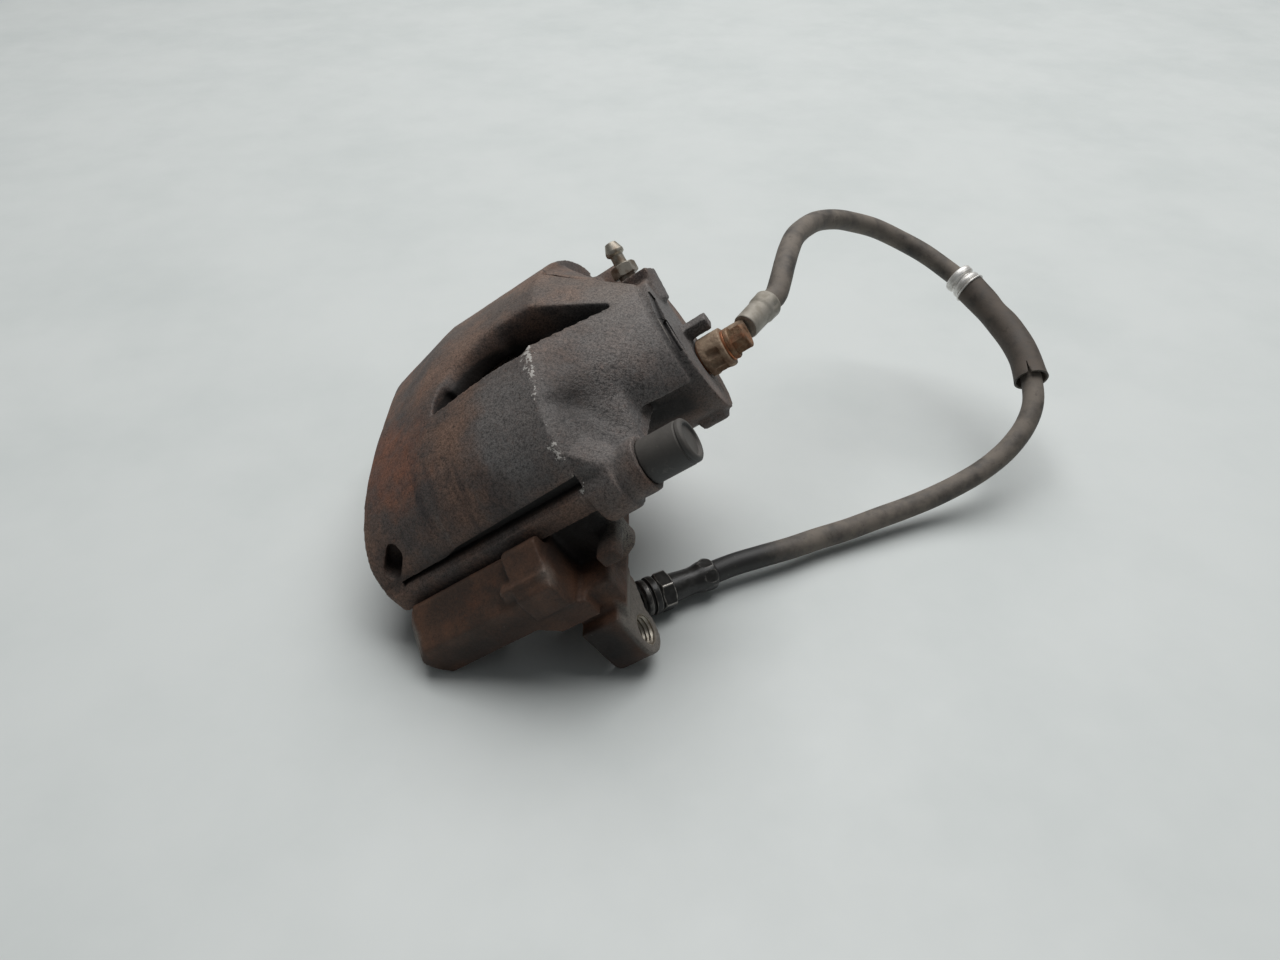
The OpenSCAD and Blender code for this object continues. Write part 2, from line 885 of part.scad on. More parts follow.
// The banjo ring and its neck
module banjo_fitting() {
  recess_r = 2.6;
  neck_r = hose_d / 2 - 1;
  stub_r = neck_r + 0.7;
  stub_way = (neck_bend - neck_root) / norm(neck_bend - neck_root);
  color("#6d4a30")
    on_bench()
      difference() {
        union() {
          at_port()
            bar_x(ring_x, ring_end, banjo_d / 2);
          rod(neck_root, neck_bend + (neck_r + 0.5) * stub_way, stub_r);
          rod(neck_bend, neck_tip, neck_r);
        }
        at_port() {
          bar_x(ring_x - 1, ring_end + 1, banjo_thread_d / 2);
          for (a = [150 : 30 : 270])
            rotate([a, 0, 0])
              translate([0, banjo_d / 2 + 1, 0])
                bar_x(ring_x + 3, ring_end - 3, recess_r);
        }
      }
}

// The crimped ferrule between the banjo's neck and the hose
module hose_ferrule() {
  r = hose_d / 2 + crimp_wall;
  color("#a39d92")
    on_bench()
      at_neck()
        translate([ferrule_set, 0, 0])
          rotate([0, 90, 0])
            rotate_extrude()
              polygon([
                [0, 0], [r - 1, 0], [r - 1, ferrule_l - 8], [r, ferrule_l - 6], [r, ferrule_l], [0, ferrule_l]
              ]);
}

// Unit way of the hose at a route point
function way(i) =
  let (d = route[min(i + 1, len(route) - 1)] - route[max(i - 1, 0)])
  i == 0 ? start_way : d / norm(d);

// One ring of a tube about a route point
function tube_ring(p, t, r, sides) =
  let (flat = cross(t, [0, 0, 1]), u = flat / norm(flat), v = cross(u, t))
  [for (k = [0 : sides - 1]) p + r * cos(360 * k / sides) * u + r * sin(360 * k / sides) * v];

// A closed tube along a stretch of the route
module swept_tube(from, to, r, sides) {
  n = to - from + 1;
  rings = [for (i = [from : to]) each tube_ring(route[i], way(i), r, sides)];
  walls = [
    for (i = [0 : n - 2])
      for (k = [0 : sides - 1])
        let (a = i * sides + k, b = i * sides + (k + 1) % sides)
          each [[a, b, b + sides], [a, b + sides, a + sides]]
  ];
  first = [for (k = [sides - 1 : -1 : 0]) k];
  last = [for (k = [0 : sides - 1]) (n - 1) * sides + k];
  polyhedron(rings, concat(walls, [first, last]));
}

// Places a piece at a route point, with its own z along the hose
module at_route(i) {
  w = way(i);
  translate(route[i])
    rotate([0, acos(w[2]), atan2(w[1], w[0])])
      children();
}

// The rubber hose
module brake_hose() {
  color("#6f675c")
    swept_tube(0, len(route) - 1, hose_d / 2, 12);
}

// The grooved support ring clamped round the hose
module hose_support_ring() {
  inner = hose_d / 2 + 0.8;
  outer = inner + ring_wall;
  sleeve_gap = 0.1;
  color("#b4b2ac")
    at_route(ring_at)
      rotate_extrude()
        polygon([
          [inner, -7], [outer, -7], [outer, -4], [outer - 1.6, -4], [outer - 1.6, -2], [outer, -2],
          [outer, -sleeve_gap], [inner, -sleeve_gap]
        ]);
}

// The rubber sleeve on the hose
module hose_sleeve() {
  color("#3d3a36")
    difference() {
      swept_tube(ring_at, sleeve_to, hose_d / 2 + sleeve_wall, 16);
      swept_tube(ring_at - 1, sleeve_to + 1, hose_d / 2 + 0.3, 12);
    }
}

// The crimped ferrule at the far end
module end_ferrule() {
  r = hose_d / 2 + crimp_wall + 0.4;
  l = end_ferrule_l;
  color("#26241f")
    at_route(len(route) - 1)
      rotate_extrude()
        polygon([
          [0, 0], [r - 1.2, 0], [r - 0.2, 1], [r - 0.2, 6], [r - 1, 10], [r - 1.2, 12], [r - 0.4, l], [0, l]
        ]);
}

// The threaded fitting at the far end
module end_fitting() {
  r = hose_d / 2 + crimp_wall + 1.7;
  l = end_fitting_l;
  hex_h = 7;
  color("#1d1c1a")
    at_route(len(route) - 1)
      translate([0, 0, end_ferrule_l])
        difference() {
          union() {
            cylinder(h = hex_h, r = r + 0.8, $fn = 6);
            rotate_extrude()
              polygon([
                [0, 0], [r - 1, 0], [r - 1, hex_h + 0.8], [r + 0.3, hex_h + 0.8], [r + 0.3, hex_h + 4],
                [r - 1.2, hex_h + 4], [r - 1.2, hex_h + 5.2], [r, hex_h + 5.2], [r, l - 1], [r - 1, l], [0, l]
              ]);
          }
          translate([0, 0, l - 13])
            cylinder(h = 14, r = banjo_thread_d / 2);
        }
}

carrier();
guide_pins();
guide_bushes();
pin_caps();
caliper_housing();
piston();
piston_seal();
dust_boot();
inner_pad_plate();
inner_pad_lining();
outer_pad_plate();
outer_pad_lining();
bleed_screw();
banjo_bolt();
sealing_washers();
banjo_fitting();
hose_ferrule();
brake_hose();
hose_support_ring();
hose_sleeve();
end_ferrule();
end_fitting();
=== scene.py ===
"""Looks of a used floating brake caliper: rusty castings, steel fittings and a dusty hose."""

import functools
import json
import logging
import math
from collections.abc import Callable, Sequence
from dataclasses import dataclass, field
from enum import Enum

import bmesh
import bpy
import numpy as np
from mathutils import Matrix, Quaternion, Vector, noise


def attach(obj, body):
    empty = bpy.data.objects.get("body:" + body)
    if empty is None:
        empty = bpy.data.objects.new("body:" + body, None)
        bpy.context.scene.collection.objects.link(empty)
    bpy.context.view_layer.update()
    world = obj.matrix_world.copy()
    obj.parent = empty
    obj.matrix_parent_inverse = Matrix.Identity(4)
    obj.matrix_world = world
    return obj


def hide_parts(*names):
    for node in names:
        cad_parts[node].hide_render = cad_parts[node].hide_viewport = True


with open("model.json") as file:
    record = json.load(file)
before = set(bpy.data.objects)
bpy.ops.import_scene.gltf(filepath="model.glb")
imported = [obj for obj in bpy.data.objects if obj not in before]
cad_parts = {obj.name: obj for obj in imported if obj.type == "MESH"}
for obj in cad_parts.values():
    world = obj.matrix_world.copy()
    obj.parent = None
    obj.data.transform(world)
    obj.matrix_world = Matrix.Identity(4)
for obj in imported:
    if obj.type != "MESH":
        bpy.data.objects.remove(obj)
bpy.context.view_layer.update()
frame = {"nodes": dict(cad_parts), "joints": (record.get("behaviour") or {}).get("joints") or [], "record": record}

log = logging.getLogger("caliper")
MM = 0.001
Colour = tuple[float, float, float, float]
Point = tuple[float, float, float]
Profile = Sequence[tuple[float, float]]
RadiusAt = Callable[[float, float, float], float]
RadiusAlong = Callable[[float, float], float]
Socket = bpy.types.NodeSocket
# Places and sizes that several pieces share, in the caliper's axes and in millimetres
EAR_FACE, EAR_Y, EAR_Z = 40.0, 100.0, -58.0
PIN_Y, PIN_Z = 80.0, 5.0
BUSH_R = 8.9
BOTH_SIDES = (-1, 1)


class Body(Enum):
    """The bodies that the pieces made here ride on."""

    CARRIER = "carrier_body"
    HOUSING = "housing_body"
    BLEED_SCREW = "bleed_screw_body"


class Zone(Enum):
    """Named areas of a casting's surface, kept on its mesh as values from 0 to 1."""

    RUST = "rust_zone"
    GREY = "grey_zone"
    ROUGH = "rough_zone"
    CHIPS = "chip_zone"
    # Painted shade: darkens recesses, pockets and faces turned away from the lamp.
    PAINTED_SHADE = "painted_shade_zone"
    WASH = "wash_zone"
    WEAR = "edge_wear"
    # Darkening in hollows, found from the mesh's relief: partly grime, partly painted shade.
    HOLLOW_GRIME_AND_SHADE = "hollow_grime_and_painted_shade"
    SOFT = "soft_zone"
    DUST = "dust_zone"


def srgb(red: int, green: int, blue: int) -> Colour:
    """A colour given by its screen values.

    Args:
        red: Red from 0 to 255.
        green: Green from 0 to 255.
        blue: Blue from 0 to 255.

    Returns:
        The colour in the shader's linear values.
    """
    def linear(v: float) -> float:
        """One channel in linear light."""
        return v / 12.92 if v <= 0.04045 else ((v + 0.055) / 1.055) ** 2.4
    return (linear(red / 255), linear(green / 255), linear(blue / 255), 1.0)


# Axes and places


def joint(name: str) -> dict:
    """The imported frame's entry for a joint."""
    return next(j for j in frame["joints"] if j["name"] == name)


@dataclass(frozen=True)
class CaliperAxes:
    """The caliper's own axes in millimetres: x along the piston, y along the pads, z away from the axle."""

    along: Vector
    away: Vector
    middle: Vector

    @classmethod
    def from_frame(cls) -> "CaliperAxes":
        """Reads the axes from the slide joint and the near mounting hole.

        Returns:
            The axes, in the row frame.
        """
        mount = next(m for m in frame["record"]["mounts"] if m["name"] == "hub_bolt_near")
        along = Vector(joint("housing_slide")["axis"]).normalized()
        away = Vector((-along.z, 0.0, along.x))
        middle = Vector(mount["pos_m"]) - EAR_FACE * MM * along - EAR_Z * MM * away
        middle.y += EAR_Y * MM
        return cls(along, away, middle)

    def way(self, x: float, y: float, z: float) -> Vector:
        """A direction in the caliper's axes, as a unit direction in the row frame."""
        return (x * self.along + y * Vector((0, 1, 0)) + z * self.away).normalized()

    def point(self, x: float, y: float, z: float) -> Vector:
        """A point in the caliper's axes, in the row frame."""
        return self.middle + x * MM * self.along + z * MM * self.away + Vector((0, y * MM, 0))

    def local(self, places: np.ndarray) -> np.ndarray:
        """Points of the row frame, in the caliper's axes."""
        basis = np.array([self.along, (0, 1, 0), self.away])
        return (places - np.array(self.middle)) @ basis.T / MM


AXES = CaliperAxes.from_frame()


@dataclass(frozen=True)
class Seat:
    """Where a turned piece stands: its base point, and the way that its own axis runs."""

    base: Vector
    way: Vector

    def matrix(self) -> Matrix:
        """Moves a piece from its own axes onto the seat."""
        return Matrix.Translation(self.base) @ self.way.to_track_quat("Z", "Y").to_matrix().to_4x4()

    def moved(self, height: float) -> "Seat":
        """The same seat, further along its axis by a height in millimetres."""
        return Seat(self.base + height * MM * self.way, self.way)


# Meshes


def linked(obj: bpy.types.Object) -> bpy.types.Object:
    """Puts a new object in the scene."""
    bpy.context.scene.collection.objects.link(obj)
    return obj


def mesh_object(name: str, vertices: Sequence, faces: Sequence) -> bpy.types.Object:
    """Makes a smooth-shaded object from points and faces.

    Args:
        name: Name of the piece.
        vertices: Points in metres.
        faces: Index tuples, one per face.

    Returns:
        The new object, linked to the scene.
    """
    mesh = bpy.data.meshes.new(name)
    mesh.from_pydata([tuple(v) for v in vertices], [], faces)
    mesh.validate()
    obj = linked(bpy.data.objects.new(name, mesh))
    set_shading(obj)
    return obj


def set_shading(obj: bpy.types.Object, crease: float = 42.0) -> None:
    """Shades smooth, with sharp edges where faces meet at more than crease degrees."""
    obj.data.shade_smooth()
    obj.data.set_sharp_from_angle(angle=math.radians(crease))


def soft_profile(corners: Profile, radius: float, steps: int = 4, most: float = 0.45) -> Profile:
    """Rounds the inner corners of a turned profile.

    Args:
        corners: Radius and height of each corner, in millimetres.
        radius: Largest reach of a corner's curve, in millimetres.
        steps: Number of short edges round a corner.
        most: Largest share of an edge that one corner's curve may take.

    Returns:
        The rounded profile.
    """
    points = [Vector(c) for c in corners]
    rounded = [points[0]]
    for before, corner, after in zip(points, points[1:], points[2:]):
        back, ahead = before - corner, after - corner
        reach = min(radius, most * back.length, most * ahead.length)
        first, last = corner + reach * back.normalized(), corner + reach * ahead.normalized()
        for k in range(steps + 1):
            t = k / steps
            rounded.append((1 - t) ** 2 * first + 2 * t * (1 - t) * corner + t * t * last)
    rounded.append(points[-1])
    return [(p.x, p.y) for p in rounded]


def hexagon(across_flats: float) -> Callable[[float], float]:
    """The outline of a hexagon.

    Args:
        across_flats: Its width across the flats, in millimetres.

    Returns:
        Gives the hexagon's radius at an angle.
    """
    def radius(angle: float) -> float:
        """Distance to the hexagon's side at this angle."""
        turn = (angle + math.pi / 6) % (math.pi / 3) - math.pi / 6
        return across_flats / 2 / math.cos(turn)
    return radius


def band_faces(low: Sequence[int], high: Sequence[int]) -> list[tuple[int, ...]]:
    """Faces between two rings of points.

    Args:
        low: The first ring's point numbers, all the same where the ring is one point.
        high: The second ring's, as many.

    Returns:
        One face for each step round the rings.
    """
    n = len(low)
    corners = [(low[k], low[(k + 1) % n], high[(k + 1) % n], high[k]) for k in range(n)]
    return [tuple(dict.fromkeys(c)) for c in corners]


def lathe(name: str, profile: Profile, seat: Seat, segments: int = 72, shape: RadiusAt | None = None,
          ring: bool = False) -> bpy.types.Object:
    """Turns a profile about a seat's axis.

    Args:
        name: Name of the piece.
        profile: Radius and height pairs in millimetres, from one end to the other.
        seat: Where the piece stands.
        segments: Number of faces round the axis.
        shape: Gives the radius at an angle, height and profile radius, for flats, dents and ripples.
        ring: True to close the profile on itself, for a ring with a bore.

    Returns:
        The new object.
    """
    rows: list[list[int]] = []
    points: list[Vector] = []
    place = seat.matrix()
    for r, h in profile:
        if r < 1e-6:
            rows.append([len(points)] * segments)
            points.append(place @ Vector((0, 0, h * MM)))
            continue
        row = []
        for k in range(segments):
            angle = math.tau * k / segments
            wide = shape(angle, h, r) if shape else r
            row.append(len(points))
            points.append(place @ Vector((wide * MM * math.cos(angle), wide * MM * math.sin(angle), h * MM)))
        rows.append(row)
    pairs = list(zip(rows, rows[1:])) + ([(rows[-1], rows[0])] if ring else [])
    faces = [face for low, high in pairs for face in band_faces(low, high)]
    return outward(mesh_object(name, points, faces))


def outward(obj: bpy.types.Object) -> bpy.types.Object:
    """Turns a closed mesh's faces outwards.

    Args:
        obj: The object with the mesh.

    Returns:
        The same object.
    """
    build = bmesh.new()
    build.from_mesh(obj.data)
    bmesh.ops.recalc_face_normals(build, faces=build.faces)
    build.to_mesh(obj.data)
    build.free()
    return obj


def distances(line: Sequence[Vector]) -> np.ndarray:
    """How far along a line each of its points lies, in metres."""
    return np.concatenate([[0.0], np.cumsum([(q - p).length for p, q in zip(line, line[1:])])])


def spline(points: Sequence[Vector], step: float, parts: int = 24) -> list[Vector]:
    """An even, smooth line through points.

    Args:
        points: Points that the line passes through, in metres.
        step: Distance between the line's points, in metres.
        parts: Number of parts that each stretch is worked out in.

    Returns:
        The line's points, ends included.
    """
    fine: list[Vector] = []
    ends = [2 * points[0] - points[1], *points, 2 * points[-1] - points[-2]]
    for a, b, c, d in zip(ends, ends[1:], ends[2:], ends[3:]):
        for k in range(parts):
            t = k / parts
            fine.append(0.5 * (2 * b + (c - a) * t + (2 * a - 5 * b + 4 * c - d) * t**2
                               + (3 * b - a - 3 * c + d) * t**3))
    fine.append(points[-1].copy())
    far = distances(fine)
    even = np.linspace(0, far[-1], max(2, round(far[-1] / step) + 1))
    places = [np.interp(even, far, [p[i] for p in fine]) for i in range(3)]
    return [Vector(p) for p in np.stack(places, axis=1)]


def line_frames(line: Sequence[Vector]) -> list[tuple[Vector, Vector]]:
    """Directions square to a line, turned as little as possible along it.

    Args:
        line: The line's points.

    Returns:
        Two directions at each point, square to the line and to each other.
    """
    ways = [(line[min(i + 1, len(line) - 1)] - line[max(i - 1, 0)]).normalized() for i in range(len(line))]
    side = ways[0].orthogonal().normalized()
    frames = []
    for before, way in zip([ways[0], *ways], ways):
        turn: Quaternion = before.rotation_difference(way)
        side = turn @ side
        side = (side - side.dot(way) * way).normalized()
        frames.append((side, way.cross(side)))
    return frames


def sweep(name: str, line: Sequence[Vector], radius: RadiusAlong, sides: int,
          bore: RadiusAlong | None = None) -> bpy.types.Object:
    """Sweeps a round section along a line.

    Args:
        name: Name of the piece.
        line: The middle of the tube, in metres.
        radius: Outer radius in millimetres, from the distance along the line in millimetres and the angle.
        sides: Number of faces round the tube.
        bore: Inner radius in the same form, for a hollow sleeve.

    Returns:
        The new object, closed at both ends.
    """
    frames = line_frames(line)
    far = distances(line) / MM
    skins = [radius] if bore is None else [radius, bore]
    points: list[Vector] = []
    grids = []
    for skin in skins:
        grid = []
        for p, (u, v), d in zip(line, frames, far):
            row = []
            for k in range(sides):
                angle = math.tau * k / sides
                r = skin(float(d), angle) * MM
                row.append(len(points))
                points.append(p + r * math.cos(angle) * u + r * math.sin(angle) * v)
            grid.append(row)
        grids.append(grid)
    faces = []
    for grid in grids:
        for low, high in zip(grid, grid[1:]):
            faces += band_faces(low, high)
    if bore is None:
        faces += [tuple(reversed(grids[0][0])), tuple(grids[0][-1])]
    else:
        for end in (0, -1):
            faces += band_faces(grids[0][end], grids[1][end])
    return outward(mesh_object(name, points, faces))


def bore_tool(x: float, y: float, z: float, radius: float, length: float) -> bpy.types.Object:
    """A round cutter along the piston's way, from a point in the caliper's axes; sizes in millimetres."""
    outline = [(0, 0), (radius, 0), (radius, length), (0, length)]
    return lathe("cutter", outline, Seat(AXES.point(x, y, z), AXES.along), 64)


def prism(low: Sequence[Vector], high: Sequence[Vector]) -> bpy.types.Object:
    """A cutter between two outlines.

    Args:
        low: Corners of the first outline.
        high: Corners of the second, as many.

    Returns:
        The cutter.
    """
    n = len(low)
    ends = [tuple(range(n)), tuple(range(2 * n - 1, n - 1, -1))]
    return outward(mesh_object("cutter", [*low, *high], ends + band_faces(range(n), range(n, 2 * n))))


def lump(*corners: Point) -> bpy.types.Object:
    """The tightest solid round some points.

    Args:
        *corners: Points in the caliper's axes, in millimetres.

    Returns:
        The solid.
    """
    obj = mesh_object("lump", [AXES.point(*c) for c in corners], [])
    build = bmesh.new()
    build.from_mesh(obj.data)
    shell = bmesh.ops.convex_hull(build, input=build.verts)
    inside = [v for v in shell["geom_interior"] if isinstance(v, bmesh.types.BMVert)]
    bmesh.ops.delete(build, geom=inside, context="VERTS")
    build.to_mesh(obj.data)
    build.free()
    return outward(obj)


def joined(name: str, pieces: Sequence[bpy.types.Object]) -> bpy.types.Object:
    """Makes several meshes one piece.

    Args:
        name: Name of the piece.
        pieces: The objects with the meshes, which are removed.

    Returns:
        The new object.
    """
    build = bmesh.new()
    for piece in pieces:
        build.from_mesh(piece.data)
        bpy.data.objects.remove(piece)
    mesh = bpy.data.meshes.new(name)
    build.to_mesh(mesh)
    build.free()
    obj = linked(bpy.data.objects.new(name, mesh))
    set_shading(obj)
    return obj


def settle(obj: bpy.types.Object) -> bpy.types.Object:
    """Makes an object's modifiers part of its mesh.

    Args:
        obj: The object, whose old mesh is removed.

    Returns:
        The same object.
    """
    graph = bpy.context.evaluated_depsgraph_get()
    old, obj.data = obj.data, bpy.data.meshes.new_from_object(obj.evaluated_get(graph))
    obj.modifiers.clear()
    bpy.data.meshes.remove(old)
    return obj


def voxel_skin(obj: bpy.types.Object, cell: float) -> bpy.types.Object:
    """Lays one closed skin round all of an object's lumps.

    Args:
        obj: The object.
        cell: Size of the skin's cells, in millimetres.

    Returns:
        The same object.
    """
    step = obj.modifiers.new("skin", "REMESH")
    step.mode, step.voxel_size = "VOXEL", cell * MM
    return settle(obj)


def cut(obj: bpy.types.Object, *tools: bpy.types.Object) -> bpy.types.Object:
    """Takes shapes out of an object.

    Args:
        obj: The object.
        *tools: The shapes, which are removed.

    Returns:
        The same object.
    """
    for tool in tools:
        step = obj.modifiers.new("cut", "BOOLEAN")
        step.operation, step.solver, step.object = "DIFFERENCE", "MANIFOLD", tool
        settle(obj)
        bpy.data.objects.remove(tool)
    return obj


class Surface:
    """A casting's mesh as arrays, for smoothing and for reading its edges and hollows."""

    def __init__(self, mesh: bpy.types.Mesh) -> None:
        """Reads a mesh.

        Args:
            mesh: The mesh to read and to write back to.
        """
        self.mesh = mesh
        self.places = np.empty(len(mesh.vertices) * 3)
        mesh.vertices.foreach_get("co", self.places)
        self.places = self.places.reshape(-1, 3)
        self.edges = np.empty(len(mesh.edges) * 2, np.int32)
        mesh.edges.foreach_get("vertices", self.edges)
        self.edges = self.edges.reshape(-1, 2)
        self.shares = np.maximum(np.bincount(self.edges.ravel(), minlength=len(self.places)), 1)

    def averaged(self, values: np.ndarray) -> np.ndarray:
        """Means over neighbours.

        Args:
            values: Rows of values, one for each vertex.

        Returns:
            Each vertex's mean over the vertices that it shares an edge with.
        """
        a, b = self.edges.T
        total = [np.bincount(a, v[b], len(v)) + np.bincount(b, v[a], len(v)) for v in values.T]
        return np.stack(total, axis=1) / self.shares[:, None]

    def smooth(self, rounds: int, weight: np.ndarray | float = 1.0) -> None:
        """Rounds the shape.

        Args:
            rounds: How often each vertex moves halfway to its neighbours' mean.
            weight: How much of that it moves, for all vertices or for each.
        """
        share = 0.5 * np.broadcast_to(weight, len(self.places))[:, None]
        for _ in range(rounds):
            self.places = self.places + share * (self.averaged(self.places) - self.places)

    def normals(self) -> np.ndarray:
        """The vertices' normals.

        Returns:
            One unit direction for each vertex, as the mesh last had them.
        """
        out = np.empty(len(self.places) * 3)
        self.mesh.vertex_normals.foreach_get("vector", out)
        return out.reshape(-1, 3)

    def relief(self, rounds: int) -> np.ndarray:
        """Finds edges and hollows.

        Args:
            rounds: How far round each vertex to look, in rounds of smoothing.

        Returns:
            How far each vertex stands out of its surroundings, in millimetres; below 0 in hollows.
        """
        calm = self.places
        for _ in range(rounds):
            calm = calm + 0.5 * (self.averaged(calm) - calm)
        return np.einsum("ij,ij->i", self.places - calm, self.normals()) / MM

    def ripple(self, depth: float, waves: Sequence[float], draw_in: float = 0.0) -> None:
        """Moves the skin in and out by noise.

        Args:
            depth: Depth of the first wave in millimetres; each further one is half as deep.
            waves: Number of waves a metre, coarse ones first.
            draw_in: How far the whole skin moves in, in millimetres.
        """
        lift = [sum(noise.noise(Vector(p) * wave) / 2**k for k, wave in enumerate(waves))
                for p in self.places]
        shift = np.array(lift) * depth - draw_in
        self.places += shift[:, None] * MM * self.normals()
        self.write()

    def store(self, name: str, values: np.ndarray) -> None:
        """Keeps one value a vertex on the mesh."""
        kept = self.mesh.attributes.get(name) or self.mesh.attributes.new(name, "FLOAT", "POINT")
        kept.data.foreach_set("value", np.clip(values, 0, 1).astype(np.float32))

    def write(self) -> None:
        """Puts the moved vertices back into the mesh."""
        self.mesh.vertices.foreach_set("co", self.places.astype(np.float32).ravel())
        self.mesh.update()


# Shader graphs


class Graph:
    """Places and joins shader nodes in one tree."""

    def __init__(self, tree: bpy.types.NodeTree) -> None:
        """Starts on a tree that may already hold nodes."""
        self.tree = tree

    def put(self, kind: str, inputs: dict | None = None, **settings) -> bpy.types.Node:
        """Adds a node.

        Args:
            kind: Its type without the ShaderNode prefix.
            inputs: Socket names or numbers, each with a value or with a socket to join.
            **settings: The node's own properties.

        Returns:
            The node.
        """
        node = self.tree.nodes.new("ShaderNode" + kind)
        for key, value in settings.items():
            setattr(node, key, value)
        for key, value in (inputs or {}).items():
            if isinstance(value, Socket):
                self.tree.links.new(value, node.inputs[key])
            else:
                node.inputs[key].default_value = value
        return node

    def places(self) -> Socket:
        """The piece's own coordinates, in metres."""
        return self.put("TexCoord").outputs["Object"]

    def attribute(self, zone: Zone) -> Socket:
        """A value kept on the mesh."""
        return self.put("Attribute", attribute_name=zone.value).outputs["Fac"]

    def noise(self, scale: float | Socket, detail: float = 4.0, rough: float = 0.55,
              vector: Socket | None = None) -> Socket:
        """Cloudy noise; scale is in waves a metre."""
        sockets = {"Vector": vector or self.places(), "Scale": scale, "Detail": detail, "Roughness": rough}
        return self.put("TexNoise", sockets).outputs["Fac"]

    def streaks(self, across: Vector, scale: float, stretch: float) -> Socket:
        """Noise drawn out into lines.

        Args:
            across: The direction that the lines are square to.
            scale: Number of waves a metre across the lines.
            stretch: How much the noise changes along the lines, as a share of that.

        Returns:
            The noise.
        """
        here = self.places()
        slow = self.put("VectorMath", {0: here, 3: stretch}, operation="SCALE").outputs[0]
        run = self.put("VectorMath", {0: here, 1: across}, operation="PROJECT").outputs[0]
        return self.noise(scale, 6.0, 0.6, self.put("VectorMath", {0: slow, 1: run}).outputs[0])

    def cells(self, scale: float) -> Socket:
        """Distance to scattered points; scale is in cells a metre."""
        return self.put("TexVoronoi", {"Vector": self.places(), "Scale": scale}).outputs["Distance"]

    def band(self, value: Socket, low: float | Socket, high: float | Socket) -> Socket:
        """A soft step from 0 at low to 1 at high."""
        sockets = {"Value": value, "From Min": low, "From Max": high}
        return self.put("MapRange", sockets, interpolation_type="SMOOTHSTEP").outputs["Result"]

    def scaled(self, value: Socket, low: float, high: float) -> Socket:
        """A value from 0 to 1, spread evenly from low to high."""
        return self.put("MapRange", {"Value": value, "To Min": low, "To Max": high}).outputs["Result"]

    def plus(self, a: float | Socket, b: float | Socket, operation: str = "ADD") -> Socket:
        """Two values added, or joined by another step of arithmetic."""
        return self.put("Math", {0: a, 1: b}, operation=operation).outputs[0]

    def minus(self, a: float | Socket, b: float | Socket) -> Socket:
        """One value less another."""
        return self.plus(a, b, "SUBTRACT")

    def times(self, a: float | Socket, b: float | Socket) -> Socket:
        """Two values multiplied."""
        return self.plus(a, b, "MULTIPLY")

    def clamp(self, value: Socket) -> Socket:
        """A value held from 0 to 1."""
        return self.put("Clamp", {"Value": value}).outputs[0]

    def mix(self, a: Colour | Socket, b: Colour | Socket, share: float | Socket,
            blend: str = "MIX") -> Socket:
        """Two colours mixed by a share."""
        node = self.put("Mix", {0: share, 6: a, 7: b}, data_type="RGBA", blend_type=blend, clamp_factor=True)
        return node.outputs[2]

    def group(self, tree: bpy.types.NodeTree, inputs: dict | None = None) -> bpy.types.Node:
        """Places a shared effect, with this material's own values."""
        return self.put("Group", inputs, node_tree=tree)


